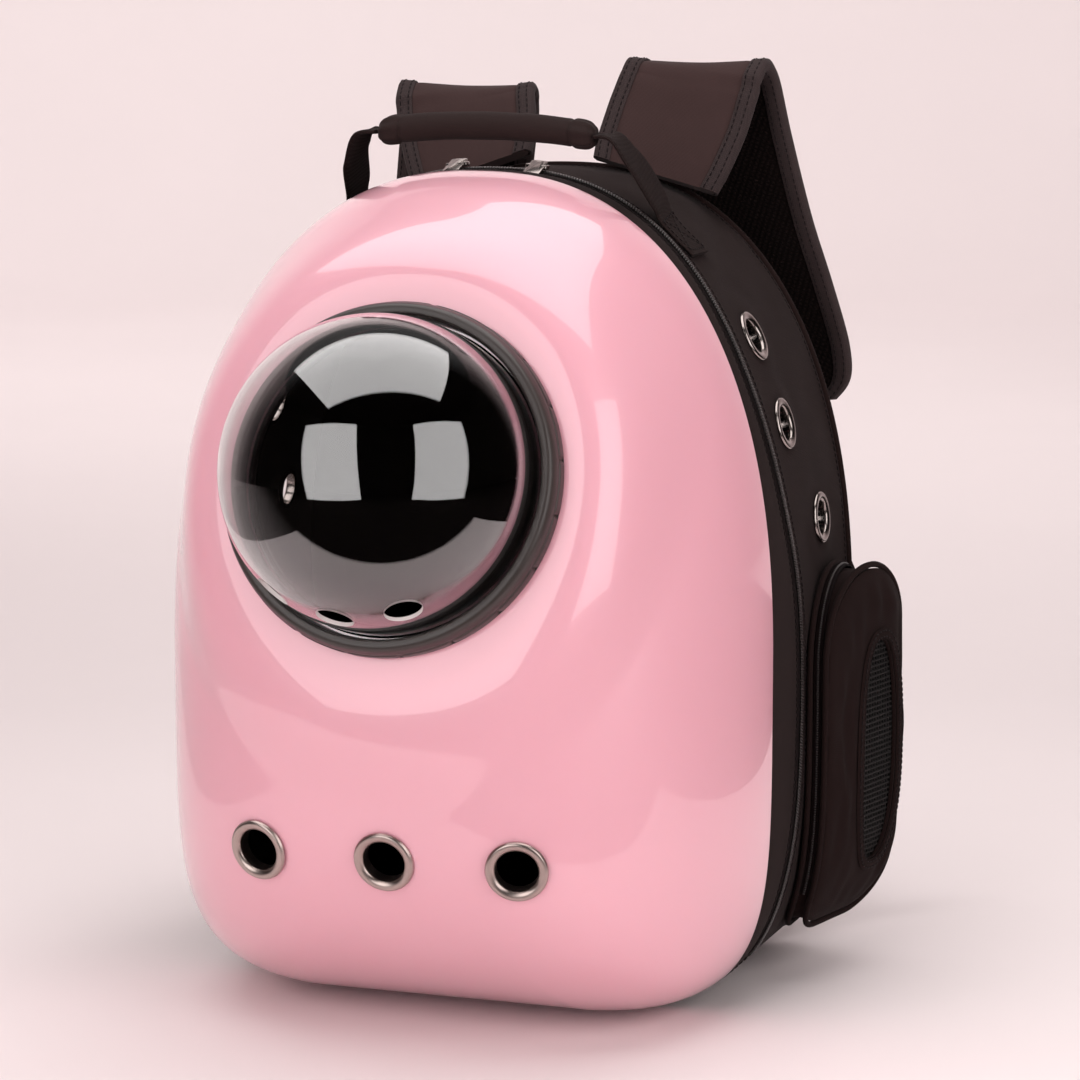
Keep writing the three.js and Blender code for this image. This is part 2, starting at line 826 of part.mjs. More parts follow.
// Shoulder strap from its root on the cloth top, over its fold and down behind. Places are shares of
// the half width and the tub's depth. Rise counts in heights of the fold up to it, and drop in bag
// heights below it. Lean is the slope of the strap's width.
const strapPath = [
  { across: 0.33, depth: 0.88, rise: 0, drop: 0, lean: -0.37, width: 0.9 },
  { across: 0.345, depth: 0.91, rise: 0.17, drop: 0, lean: -0.3, width: 0.95 },
  { across: 0.38, depth: 0.98, rise: 0.55, drop: 0, lean: -0.16, width: 1 },
  { across: 0.405, depth: 1.025, rise: 0.84, drop: 0, lean: -0.03, width: 1 },
  { across: 0.415, depth: 1.055, rise: 0.965, drop: 0, lean: -0.01, width: 1 },
  { across: 0.425, depth: 1.11, rise: 1, drop: 0, lean: 0.01, width: 1 },
  { across: 0.435, depth: 1.16, rise: 1, drop: 0.017, lean: 0.03, width: 1 },
  { across: 0.47, depth: 1.205, rise: 1, drop: 0.09, lean: 0.07, width: 1 },
  { across: 0.53, depth: 1.29, rise: 1, drop: 0.205, lean: 0.1, width: 1 },
  { across: 0.585, depth: 1.37, rise: 1, drop: 0.29, lean: 0.1, width: 1 },
  { across: 0.63, depth: 1.43, rise: 1, drop: 0.365, lean: 0.1, width: 1 },
  { across: 0.645, depth: 1.44, rise: 1, drop: 0.405, lean: 0.1, width: 0.95 },
  { across: 0.65, depth: 1.435, rise: 1, drop: 0.43, lean: 0.1, width: 0.72 },
];

// Strap webbing from the adjuster down to the foot sewn on the back, as shares of the half width,
// the tub's depth behind the back, and the bag's height
const webbingPath = [
  { across: 0.76, behind: 0.45, height: 0.5 },
  { across: 0.86, behind: 0.62, height: 0.37 },
  { across: 0.925, behind: 0.76, height: 0.25 },
  { across: 0.9, behind: 0.68, height: 0.15 },
  { across: 0.8, behind: 0.36, height: 0.085 },
  { across: 0.73, behind: 0.13, height: 0.063 },
  { across: 0.705, behind: 0.03, height: 0.073 },
  { across: 0.7, behind: 0.005, height: 0.098 },
  { across: 0.7, behind: 0.005, height: 0.13 },
  { across: 0.7, behind: 0.005, height: 0.16 },
];

function strapRows(side, rise, count) {
  const root = strapPath[0];
  const rootPlace = rimAtAcross(root.across * bag.halfWidth);
  const floor = tubPoint(rootPlace, root.depth * bag.tubDepth, gap).z + strap.thickness / 2;
  const middles = new THREE.CatmullRomCurve3(strapPath.map((row) => new THREE.Vector3(
    row.across * bag.halfWidth * side,
    row.depth * bag.tubDepth,
    floor + row.rise * rise - row.drop * bag.height,
  )));
  const shapes = new THREE.CatmullRomCurve3(strapPath.map((row, index) => (
    new THREE.Vector3(index, row.width, row.lean)
  )));
  return Array.from({ length: count }, (_, index) => {
    const share = index / (count - 1);
    const shape = shapes.getPoint(share);
    return {
      middle: middles.getPoint(share),
      across: new THREE.Vector3(1, 0, shape.z * side),
      width: strap.width * Math.min(1, shape.y),
    };
  });
}

// Edge binding: a folded tape round one long edge of the strap
function bindingGeometry(rows, edge) {
  const half = strap.thickness / 2;
  const outer = half + gap + strap.bindingWall;
  return loft(rows.map((row, index) => {
    const before = rows[Math.max(0, index - 1)].middle;
    const after = rows[Math.min(rows.length - 1, index + 1)].middle;
    const along = after.clone().sub(before).normalize();
    const across = row.across.clone().addScaledVector(along, -row.across.dot(along)).normalize();
    const face = along.clone().cross(across);
    const side = row.width / 2;
    const fold = [
      [side - strap.binding, -half - gap],
      [side + gap, -half - gap],
      [side + gap, half + gap],
      [side - strap.binding, half + gap],
      [side - strap.binding, outer],
      [side + gap + strap.bindingWall, outer],
      [side + gap + strap.bindingWall, -outer],
      [side - strap.binding, -outer],
    ];
    const ordered = edge > 0 ? fold : fold.reverse(); // so that its facets split as the strap's do
    return ordered.map(([u, v]) => (
      row.middle.clone().addScaledVector(across, u * edge).addScaledVector(face, v)
    ));
  }));
}

// Plastic adjuster between the strap's end and its webbing: a frame with one middle bar
function adjusterGeometry() {
  const half = { x: adjuster.width / 2, y: adjuster.length / 2 };
  const { corner } = adjuster;
  const frame = new THREE.Shape();
  frame.moveTo(corner - half.x, -half.y);
  frame.lineTo(half.x - corner, -half.y);
  frame.lineTo(half.x, corner - half.y);
  frame.lineTo(half.x, half.y - corner);
  frame.lineTo(half.x - corner, half.y);
  frame.lineTo(corner - half.x, half.y);
  frame.lineTo(-half.x, half.y - corner);
  frame.lineTo(-half.x, corner - half.y);
  frame.closePath();
  const slotHeight = (adjuster.length - 3 * adjuster.bar) / 2;
  [-1, 1].forEach((side) => {
    const slot = new THREE.Path();
    const low = side * (adjuster.bar + slotHeight) / 2 - slotHeight / 2;
    const reach = half.x - adjuster.bar;
    slot.moveTo(-reach, low);
    slot.lineTo(reach, low);
    slot.lineTo(reach, low + slotHeight);
    slot.lineTo(-reach, low + slotHeight);
    slot.closePath();
    frame.holes.push(slot);
  });
  const plate = new THREE.ExtrudeGeometry(frame, { depth: adjuster.thickness, bevelEnabled: false });
  return welded(plate.translate(0, 0, -adjuster.thickness / 2));
}

function strapGroup(side, rise) {
  const name = side > 0 ? 'right' : 'left';
  const group = new THREE.Group();
  const rows = strapRows(side, rise, 15);
  group.add(piece(`strap_${name}`, ribbon(rows, strap.thickness, strap.binding), strapCloth));
  group.add(piece(`strap_${name}_binding_outer`, bindingGeometry(rows, side), blackWebbing));
  group.add(piece(`strap_${name}_binding_inner`, bindingGeometry(rows, -side), blackWebbing));

  const last = rows[rows.length - 1];
  const along = last.middle.clone().sub(rows[rows.length - 2].middle).normalize();
  const across = last.across.clone().addScaledVector(along, -last.across.dot(along)).normalize();
  const lock = piece(`strap_adjuster_${name}`, adjusterGeometry(), blackAcetal);
  lock.position.copy(last.middle).addScaledVector(along, adjuster.length / 2 + gap);
  lock.quaternion.setFromRotationMatrix(new THREE.Matrix4().makeBasis(
    across,
    along.clone().negate(),
    across.clone().cross(along.clone().negate()),
  ));
  group.add(lock);

  const start = last.middle.clone().addScaledVector(along, adjuster.length + 4 * gap);
  const lift = backPanel.crown + strap.webbingWall / 2 + gap;
  const path = webbingPath.map((row) => new THREE.Vector3(
    row.across * bag.halfWidth * side,
    bag.tubDepth * (1 + row.behind) + lift,
    row.height * bag.height,
  ));
  const curve = new THREE.CatmullRomCurve3([start, start.clone().addScaledVector(along, 12), ...path]);
  const tape = curve.getPoints(18).map((middle) => ({
    middle: middle,
    across: new THREE.Vector3(1, 0, strap.webbingLean * side),
    width: strap.webbing,
  }));
  group.add(piece(`strap_webbing_${name}`, ribbon(tape, strap.webbingWall), blackWebbing));
  return group;
}

// Reach of the cloth side from the bag's middle plane, at a height and a depth
function sideReach(height, depth) {
  return rimAtHeight(height / sagAt(depth)).x;
}

// Outline of the zip pocket seen from the side: corners in order, each with its own radius as a share
// of the pocket's depth from front to back
const pocketCorners = [
  { depth: 1, height: 0, radius: 0.38, turn: -90, steps: 3 },
  { depth: 1, height: 1, radius: 0.4, turn: 0, steps: 3 },
  { depth: 0, height: 1, radius: 0.58, turn: 90, steps: 4 },
  { depth: 0, height: 0, radius: 0.2, turn: 180, steps: 2 },
];

function pocketOutline(grow = 0) {
  const depthRange = pocket.back - pocket.front;
  const heightRange = pocket.top - pocket.bottom;
  return pocketCorners.flatMap((corner) => {
    const radius = corner.radius * depthRange;
    const inDepth = corner.depth > 0 ? -radius : radius;
    const inHeight = corner.height > 0 ? -radius : radius;
    const middleDepth = pocket.front + corner.depth * depthRange + inDepth;
    const middleHeight = pocket.bottom + corner.height * heightRange + inHeight;
    return Array.from({ length: corner.steps + 1 }, (_, index) => {
      const angle = THREE.MathUtils.degToRad(corner.turn + (90 * index) / corner.steps);
      return new THREE.Vector2(
        middleDepth + (radius + grow) * Math.cos(angle),
        middleHeight + (radius + grow) * Math.sin(angle),
      );
    });
  }).flatMap((spot, index, spots) => {
    const next = spots[(index + 1) % spots.length];
    const pieces = Math.abs(next.y - spot.y) > 60 ? 4 : 1;
    return Array.from({ length: pieces }, (_, step) => spot.clone().lerp(next, step / pieces));
  });
}

function pocketThickness(depth) {
  const share = (depth - pocket.front) / (pocket.back - pocket.front);
  return THREE.MathUtils.lerp(pocket.thin, pocket.thick, THREE.MathUtils.clamp(share, 0, 1));
}

// A point on the pocket's face, or below it by an inset
function pocketFace(spot, bulge, inset) {
  const off = pocketThickness(spot.x) + pocket.crown * bulge - inset;
  return new THREE.Vector3(sideReach(spot.y, spot.x) + off, spot.x, spot.y);
}

// The oval window in the pocket's face, at an angle about its centre
function ovalAt(angle, grow) {
  const across = Math.abs(Math.cos(angle) / (pocketWindow.width / 2 + grow)) ** pocketWindow.power;
  const along = Math.abs(Math.sin(angle) / (pocketWindow.height / 2 + grow)) ** pocketWindow.power;
  const radius = (across + along) ** (-1 / pocketWindow.power);
  return new THREE.Vector2(
    pocketWindow.centreDepth + radius * Math.cos(angle),
    pocketWindow.centreHeight + radius * Math.sin(angle),
  );
}

function windowOval(grow, count) {
  const { width, height } = pocketWindow;
  return Array.from({ length: count }, (_, index) => {
    const even = (index / count) * 2 * Math.PI;
    return ovalAt(Math.atan2(height * Math.sin(even), width * Math.cos(even)), grow);
  });
}

// Cloth pocket, open towards the tub, with its window left out of the face
function pocketBody() {
  const surface = (inset) => {
    const outline = pocketOutline(-inset);
    const ovalRing = outline.map((spot) => (
      ovalAt(Math.atan2(spot.y - pocketWindow.centreHeight, spot.x - pocketWindow.centreDepth), 0)
    ));
    const face = (share) => outline.map((spot, index) => (
      pocketFace(spot.clone().lerp(ovalRing[index], share), 1 - (1 - share) ** 2, inset)
    ));
    const base = outline.map((spot) => (
      new THREE.Vector3(sideReach(spot.y, spot.x) + pocket.lift, spot.x, spot.y)
    ));
    const edge = outline.map((spot) => pocketFace(spot, 0, Math.max(inset, pocket.edgeDrop)));
    return [base, edge, face(0.06), face(0.5), face(1)];
  };
  return loft([...surface(0).reverse(), ...surface(pocket.wall)], true);
}

function pocketMesh() {
  const drop = pocket.wall + gap + pocketWindow.slack;
  const middle = new THREE.Vector2(pocketWindow.centreDepth, pocketWindow.centreHeight);
  const ringOf = (shrink, inset) => windowOval(pocketWindow.overlap, 14).map((spot) => (
    pocketFace(spot.lerp(middle, shrink), 1, drop + inset)
  ));
  const { wall } = pocketWindow;
  return loft([ringOf(0.5, 0), ringOf(0, 0), ringOf(0, wall), ringOf(0.5, wall)]);
}

function pocketTrim() {
  const low = -gap - pocketWindow.slack;
  const high = low - pocketWindow.trimWall;
  const outline = (grow, inset) => windowOval(grow, 16).map((spot) => pocketFace(spot, 1, inset));
  return loft([
    outline(pocketWindow.trimInset, low),
    outline(pocketWindow.trim, low),
    outline(pocketWindow.trim, high),
    outline(pocketWindow.trimInset, high),
  ], true);
}

function pocketPiping(level) {
  const sides = 4;
  const outline = pocketOutline();
  const grown = pocketOutline(1);
  return loft(outline.map((spot, index) => {
    const out = grown[index].clone().sub(spot);
    const onFace = pocketThickness(spot.x) - pocket.piping - 1;
    const onBase = pocket.piping + pocket.lift;
    const thickness = level > 0 ? onFace : onBase;
    return Array.from({ length: sides }, (_, step) => {
      const angle = (step / sides) * 2 * Math.PI;
      const off = pocket.piping * (1 + Math.cos(angle)) + gap;
      const reach = sideReach(spot.y, spot.x) + thickness + pocket.piping * Math.sin(angle);
      return new THREE.Vector3(reach, spot.x + out.x * off, spot.y + out.y * off);
    });
  }), true);
}

function pocketZip() {
  const outline = pocketOutline();
  const grown = pocketOutline(1);
  const zipped = (spot) => spot.x < pocket.back - 1 && spot.y > pocket.bottom + pocket.zipFoot;
  return loft(outline.filter(zipped).map((spot) => {
    const out = grown[outline.indexOf(spot)].clone().sub(spot);
    const low = 2 * pocket.piping + pocket.lift + gap;
    const reach = sideReach(spot.y, spot.x);
    const point = (off, thickness) => (
      new THREE.Vector3(reach + thickness, spot.x + out.x * off, spot.y + out.y * off)
    );
    return [
      point(gap, low),
      point(gap + pocket.zipRise, low),
      point(gap + pocket.zipRise, low + pocket.zipWidth),
      point(gap, low + pocket.zipWidth),
    ];
  }));
}

// Net pocket on the other side: a gathered sheet that stands out at its hem
function netOff(share, level) {
  const along = (1 - Math.abs(2 * share - 1) ** 3) ** 0.45;
  const up = (1 - (1 - level) ** 3) ** 0.6 - 0.1 * level;
  return net.bulge * along * up;
}

function netPoint(share, level, out) {
  const depth = THREE.MathUtils.lerp(net.front, net.back, share);
  const height = THREE.MathUtils.lerp(net.bottom, net.top, level);
  const reach = sideReach(height, depth) + net.lift + netOff(share, level) + out;
  return new THREE.Vector3(-reach, depth, height);
}

const netShares = Array.from({ length: 13 }, (_, index) => 0.5 - 0.5 * Math.cos((index / 12) * Math.PI));
const hemStart = 1 - net.hem / (net.top - net.bottom);

function netPocket() {
  const levels = [0, 0.07, 0.25, 0.6, hemStart - gap / (net.top - net.bottom)];
  return loft(netShares.map((share) => [
    ...levels.map((level) => netPoint(share, level, net.wall)),
    ...levels.slice().reverse().map((level) => netPoint(share, level, 0)),
  ]));
}

function netHem() {
  return loft(netShares.map((share) => [
    netPoint(share, hemStart, 0),
    netPoint(share, hemStart, net.hemWall),
    netPoint(share, 1, net.hemWall),
    netPoint(share, 1, 0),
  ]));
}

// The bag
const backpack = new THREE.Group();
backpack.add(piece('shell', moulding(), pinkPlastic));
backpack.add(windowGroup());
['left', 'centre', 'right'].forEach((name, index) => {
  backpack.add(eyelet(`front_eyelet_${name}`, frontEyelet, shell.wall, frontHoles[index], 14, gunmetal));
});
sideHoles.forEach((hole) => {
  backpack.add(eyelet(hole.name, sideEyelet, gusset.wall, hole, 9, nickel));
});
backpack.add(piece('front_band', frontBand(), blackNeoprene));
backpack.add(piece('main_zipper', zipChain(), zipNylon));
backpack.add(piece('hinge_strip', hingeStrip(), blackNylon));
backpack.add(piece('gusset', gussetWall(), blackNylon));
backpack.add(piece('back_piping', backPiping(), blackNylon));
backpack.add(piece('back_panel', paddedBack(), blackMesh));
backpack.add(sliderGroup(-1));
backpack.add(sliderGroup(1));
backpack.add(handleGroup());
backpack.add(strapGroup(1, strap.rightRise));
backpack.add(strapGroup(-1, strap.leftRise));
backpack.add(piece('side_pocket', pocketBody(), blackNylon));
backpack.add(piece('side_pocket_mesh', pocketMesh(), blackMesh));
backpack.add(piece('side_pocket_window_trim', pocketTrim(), blackWebbing));
backpack.add(piece('side_pocket_piping_face', pocketPiping(1), blackNylon));
backpack.add(piece('side_pocket_piping_base', pocketPiping(0), blackNylon));
backpack.add(piece('side_pocket_zipper', pocketZip(), zipNylon));
backpack.add(piece('net_pocket', netPocket(), blackMesh));
backpack.add(piece('net_pocket_hem', netHem(), blackWebbing));

const standing = new THREE.Group();
backpack.position.y = -bag.tubDepth / 2;
standing.add(backpack);

export default standing;
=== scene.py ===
# Pet carrier backpack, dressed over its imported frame.
# The shapes are worked out in millimetres, with Y = 0 at the rear edge of the moulded shell, and
# become metres in the frame's own axes as each mesh is made.
import math

import bmesh
import bpy
import numpy as np
from mathutils import Matrix, Vector, noise


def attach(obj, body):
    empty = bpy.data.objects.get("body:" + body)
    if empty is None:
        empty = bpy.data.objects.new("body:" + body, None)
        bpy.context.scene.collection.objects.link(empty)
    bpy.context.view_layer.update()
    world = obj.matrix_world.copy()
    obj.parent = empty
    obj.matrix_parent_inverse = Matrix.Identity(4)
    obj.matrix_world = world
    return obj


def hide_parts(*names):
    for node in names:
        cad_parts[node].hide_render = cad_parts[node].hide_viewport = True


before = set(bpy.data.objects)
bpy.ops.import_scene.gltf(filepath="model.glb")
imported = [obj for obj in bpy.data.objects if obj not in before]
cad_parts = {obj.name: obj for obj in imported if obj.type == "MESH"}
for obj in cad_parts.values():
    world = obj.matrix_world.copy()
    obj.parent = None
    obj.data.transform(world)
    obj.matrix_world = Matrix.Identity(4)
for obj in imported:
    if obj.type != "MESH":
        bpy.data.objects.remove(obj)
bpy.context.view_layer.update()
print("frame loaded")

# Camera: fitted to the photograph
camera = {"place": (706.1, -1915.9, 567.4), "aim": (26.9, 14.2, 233.1), "lens": 136.7, "sensor": 36.0}

bag = {
    "height": 420.0,
    "halfWidth": 154.0,
    "widestAt": 176.0,
    "topPower": 2.37,
    "bottomPower": 4.9,
    "baseCut": 1.2,
    "tubDepth": 145.0,
    "topSag": 7.0,
}
gap = 0.3


def toFrame(points):
    return (np.asarray(points, dtype=float) - (0, bag["tubDepth"] / 2, 0)) / 1000


def makeCamera():
    data = bpy.data.cameras.new("camera")
    data.lens = camera["lens"]
    data.sensor_width = camera["sensor"]
    data.clip_end = 100
    item = bpy.data.objects.new("camera", data)
    place = Vector(toFrame(camera["place"]))
    aim = Vector(toFrame(camera["aim"]))
    item.location = place
    item.rotation_euler = (aim - place).to_track_quat("-Z", "Y").to_euler()
    bpy.context.collection.objects.link(item)
    bpy.context.scene.camera = item


makeCamera()


# Colours and materials
def linear(code):
    parts = [int(code[at:at + 2], 16) / 255 for at in (1, 3, 5)]
    return tuple(c / 12.92 if c <= 0.04045 else ((c + 0.055) / 1.055) ** 2.4 for c in parts) + (1.0,)


# A node with its settings made, and its inputs set to numbers or linked to other nodes' outputs
def addNode(tree, kind, inputs=None, **settings):
    item = tree.nodes.new("ShaderNode" + kind)
    for name, value in settings.items():
        setattr(item, name, value)
    for name, value in (inputs or {}).items():
        socket = item.inputs[name]
        if isinstance(value, bpy.types.NodeSocket):
            tree.links.new(value, socket)
        else:
            socket.default_value = value
    return item


def newMaterial(name, **values):
    material = bpy.data.materials.new(name)
    material.use_nodes = True
    shader = material.node_tree.nodes["Principled BSDF"]
    for key, value in values.items():
        shader.inputs[key].default_value = value
    return material, material.node_tree, shader


# A colour between two; the mix node keeps its colour sockets at 6 and 7 and its colour output at 2
def mixed(tree, factor, low, high):
    return addNode(tree, "Mix", {0: factor, 6: low, 7: high}, data_type="RGBA").outputs[2]


# Noise over the object's own space
def noiseAt(tree, scale, detail):
    place = addNode(tree, "TexCoord").outputs["Object"]
    return addNode(tree, "TexNoise", {"Vector": place, "Scale": scale, "Detail": detail}).outputs["Fac"]


# Height turned into a bump, with its distance in millimetres
def bumped(tree, shader, height, strength, depth):
    bump = addNode(tree, "Bump", {"Height": height, "Strength": strength, "Distance": depth / 1000})
    tree.links.new(bump.outputs["Normal"], shader.inputs["Normal"])
    return bump.outputs["Normal"]


def roughened(tree, shader, factor, low, high):
    rough = addNode(tree, "MapRange", {"Value": factor, "To Min": low, "To Max": high})
    tree.links.new(rough.outputs["Result"], shader.inputs["Roughness"])


# Arithmetic on numbers and on other nodes' outputs
def calc(tree, operation, *values):
    inputs = dict(enumerate(values))
    return addNode(tree, "Math", inputs, operation=operation).outputs[0]


# A colour made lighter or darker
def shade(code, factor):
    colour = linear(code)
    return tuple(min(1.0, c * factor) for c in colour[:3]) + (1.0,)


# Ridges across a surface's own lengths, which its UV map holds in millimetres
def ridges(tree, along, pitch, slope=0.0):
    uv = addNode(tree, "TexCoord").outputs["UV"]
    parts = addNode(tree, "SeparateXYZ", {"Vector": uv}).outputs
    main, other = (parts[0], parts[1]) if along == "length" else (parts[1], parts[0])
    turned = calc(tree, "ADD", main, calc(tree, "MULTIPLY", other, slope))
    wave = calc(tree, "SINE", calc(tree, "MULTIPLY", turned, 2 * math.pi / pitch))
    return calc(tree, "MULTIPLY_ADD", wave, 0.5, 0.5)


# Cloth: a weave of two crossing ridges, faint wear in blotches, and a soft sheen at the edges
clothLook = {
    "specular": 0.05,
    "sheenRoughness": 0.45,
    "blotchScale": 22.0,
    "blotchShare": 0.55,
    "threadScale": 1400.0,
    "threadHeight": 0.4,
    "bump": 0.8,
}


def cloth(name, code, roughness=0.85, pitch=0.7, depth=0.12, sheen=0.06, slope=0.0, ribs=None, fade=0.25):
    material, tree, shader = newMaterial(name, **{
        "Roughness": roughness,
        "Sheen Weight": sheen,
        "Sheen Roughness": clothLook["sheenRoughness"],
        "Specular IOR Level": clothLook["specular"],
    })
    warp = ridges(tree, "length", pitch, slope)
    weft = ridges(tree, "across", ribs or pitch, -slope)
    weave = calc(tree, "MULTIPLY", warp, weft)
    blotch = calc(tree, "MULTIPLY", noiseAt(tree, clothLook["blotchScale"], 4.0), clothLook["blotchShare"])
    tone = calc(tree, "ADD", blotch, calc(tree, "MULTIPLY", weave, 1 - clothLook["blotchShare"]))
    colour = mixed(tree, tone, shade(code, 1 - fade), shade(code, 1 + fade))
    tree.links.new(colour, shader.inputs["Base Color"])
    thread = calc(tree, "MULTIPLY", noiseAt(tree, clothLook["threadScale"], 2.0), clothLook["threadHeight"])
    bumped(tree, shader, calc(tree, "ADD", weave, thread), clothLook["bump"], depth)
    return material


# Glossy moulded plastic: clear top coat over pink, with the faint unevenness of a vacuum-formed sheet
pinkLook = {"low": "#dfa2af", "high": "#e3a9b5", "cloudScale": 5.0, "rippleScale": 16.0, "ripple": 0.12}


def pinkPlastic():
    material, tree, shader = newMaterial("pinkPolycarbonate", **{
        "Roughness": 0.28,
        "IOR": 1.5,
        "Coat Weight": 1.0,
        "Coat Roughness": 0.025,
        "Subsurface Weight": 0.04,
        "Subsurface Scale": 0.004,
    })
    cloudy = noiseAt(tree, pinkLook["cloudScale"], 3.0)
    colour = mixed(tree, cloudy, linear(pinkLook["low"]), linear(pinkLook["high"]))
    tree.links.new(colour, shader.inputs["Base Color"])
    normal = bumped(tree, shader, noiseAt(tree, pinkLook["rippleScale"], 1.0), pinkLook["ripple"], 2.0)
    tree.links.new(normal, shader.inputs["Coat Normal"])
    return material


# Moulded plastic, rubber and metal: uneven gloss from handling, over a fine grain
plasticLook = {"rubScale": 60.0, "grainScale": 900.0, "spread": 0.12, "bump": 0.5, "gloss": (0.8, 1.25)}


def plastic(name, code, roughness, depth=0.05, metal=0.0, coat=0.0):
    material, tree, shader = newMaterial(name, **{"Metallic": metal, "Coat Weight": coat})
    rub = noiseAt(tree, plasticLook["rubScale"], 5.0)
    grain = noiseAt(tree, plasticLook["grainScale"], 3.0)
    spread = plasticLook["spread"]
    colour = mixed(tree, rub, shade(code, 1 - spread), shade(code, 1 + spread))
    tree.links.new(colour, shader.inputs["Base Color"])
    roughened(tree, shader, rub, *[roughness * share for share in plasticLook["gloss"]])
    bumped(tree, shader, grain, plasticLook["bump"], depth)
    return material


# Clear acrylic: real refraction and a hard coat, with faint rub marks in the roughness
def clearAcrylic():
    material, tree, shader = newMaterial("clearAcrylic", **{
        "Base Color": (0.97, 0.97, 0.97, 1),
        "IOR": 1.49,
        "Transmission Weight": 1.0,
        "Coat Weight": 1.0,
        "Coat IOR": 1.54,
        "Coat Roughness": 0.01,
    })
    roughened(tree, shader, noiseAt(tree, 90.0, 6.0), 0.0, 0.03)
    return material


# Two blacks of mesh share one open knit; the other cloths differ in weave, sheen and how brown they are
openKnit = {"pitch": 3.4, "ribs": 2.6, "depth": 1.0, "slope": 0.6, "fade": 0.5}
materials = {
    "pink": pinkPlastic(),
    "acrylic": clearAcrylic(),
    "sawnAcrylic": plastic("sawnAcrylic", "#d8d0ce", 0.5, depth=0.02),
    "rubber": plastic("mouldedRubber", "#352e2c", 0.36, depth=0.08),
    "gunmetal": plastic("gunmetal", "#b5a59f", 0.3, metal=1.0, depth=0.02),
    "nickel": plastic("nickel", "#a69c98", 0.22, metal=1.0, depth=0.02),
    "neoprene": cloth("neopreneBand", "#241a19", 0.8, pitch=0.6, depth=0.06, sheen=0.02),
    # painted shade: a near-black cloth for the faces inside the cabin, standing in for the shade that falls
    # there
    "insideShade": cloth("paintedInsideShade", "#060404", 0.95, pitch=0.6, depth=0.05, sheen=0.0),
    "nylon": cloth("oxfordNylon", "#211716", 0.9, pitch=0.8, depth=0.12, sheen=0.03),
    "pocketCloth": cloth("pocketNylon", "#1f1514", 0.9, pitch=0.8, depth=0.12, sheen=0.02),
    "strap": cloth("strapCloth", "#3d2e2d", 0.9, pitch=0.7, depth=0.1, fade=0.18),
    "webbing": cloth("webbingTape", "#221918", 0.85, pitch=1.6, ribs=2.6, depth=0.3, slope=0.5, sheen=0.02),
    "binding": cloth("bindingTape", "#393030", 0.85, pitch=1.1, ribs=1.1, depth=0.15, sheen=0.04),
    "zipCoil": plastic("nylonCoil", "#2b2423", 0.32, coat=0.5),
    "zipTape": cloth("zipTape", "#140d0d", 0.85, pitch=1.0, depth=0.12, sheen=0.02),
    "spacer": cloth("spacerMesh", "#120c0b", 0.95, sheen=0.02, **openKnit),
    "airMesh": cloth("airMesh", "#2b2120", 0.95, sheen=0.03, **openKnit),
    "net": plastic("polyesterNet", "#130e0d", 0.8),
    "acetal": plastic("acetal", "#1b1514", 0.35, depth=0.06),
    "thread": cloth("sewingThread", "#1b1415", 0.6, pitch=0.5, depth=0.05),
    "grip": cloth("gripCloth", "#2b2120", 0.9, pitch=0.7, depth=0.1, fade=0.2, sheen=0.03),
}
print("materials made")


# A finished piece: its material, its smooth shading, and its place in the frame
def finishPiece(item, material, nodes=(), smoothBelow=None):
    item.data.materials.clear()
    item.data.materials.append(materials[material])
    item.data.polygons.foreach_set("use_smooth", [True] * len(item.data.polygons))
    if smoothBelow:
        item.data.set_sharp_from_angle(angle=math.radians(smoothBelow))
    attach(item, "root")
    if nodes:
        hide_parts(*nodes)
    return item


def newObject(name, points, faces):
    mesh = bpy.data.meshes.new(name)
    mesh.from_pydata(toFrame(points).tolist(), [], faces)
    mesh.update()
    item = bpy.data.objects.new(name, mesh)
    bpy.context.collection.objects.link(item)
    return item


def lengths(points, axis, closed):
    rolled = np.roll(points, -1, axis=axis)
    steps = np.linalg.norm(rolled - points, axis=2).mean(axis=1 - axis)
    count = points.shape[axis] + (1 if closed else 0)
    return np.concatenate([[0], np.cumsum(steps)])[:count]


# A skin through rows of points, with a UV map of its lengths in millimetres
def gridMesh(name, points, closeRows=False, closeColumns=False, caps=False):
    points = np.asarray(points, dtype=float)
    rows, columns = points.shape[:2]
    downTo = rows if closeRows else rows - 1
    acrossTo = columns if closeColumns else columns - 1
    grid = np.meshgrid(np.arange(downTo), np.arange(acrossTo), indexing="ij")
    row, column = [part.ravel() for part in grid]
    nextRow, nextColumn = (row + 1) % rows, (column + 1) % columns
    quads = np.stack([
        row * columns + column,
        row * columns + nextColumn,
        nextRow * columns + nextColumn,
        nextRow * columns + column,
    ], axis=1)
    faces = quads.tolist()
    if caps:
        faces.append(list(range(columns))[::-1])
        faces.append([(rows - 1) * columns + at for at in range(columns)])
    item = newObject(name, points.reshape(-1, 3), faces)
    down = lengths(points, 0, closeRows)
    across = lengths(points, 1, closeColumns)
    corners = np.stack([
        np.stack([across[column + stepAcross], down[row + stepDown]], axis=1)
        for stepDown, stepAcross in ((0, 0), (0, 1), (1, 1), (1, 0))
    ], axis=1).reshape(-1, 2)
    if caps:
        corners = np.concatenate([corners, np.zeros((2 * columns, 2))])
    layer = item.data.uv_layers.new(name="lengths")
    layer.data.foreach_set("uv", corners.ravel())
    return outward(item)


# Turns the faces of a closed skin so that they point out
def outward(item):
    work = bmesh.new()
    work.from_mesh(item.data)
    if all(edge.is_manifold for edge in work.edges):
        if work.calc_volume(signed=True) < 0:
            bmesh.ops.reverse_faces(work, faces=work.faces[:])
            work.to_mesh(item.data)
    work.free()
    return item


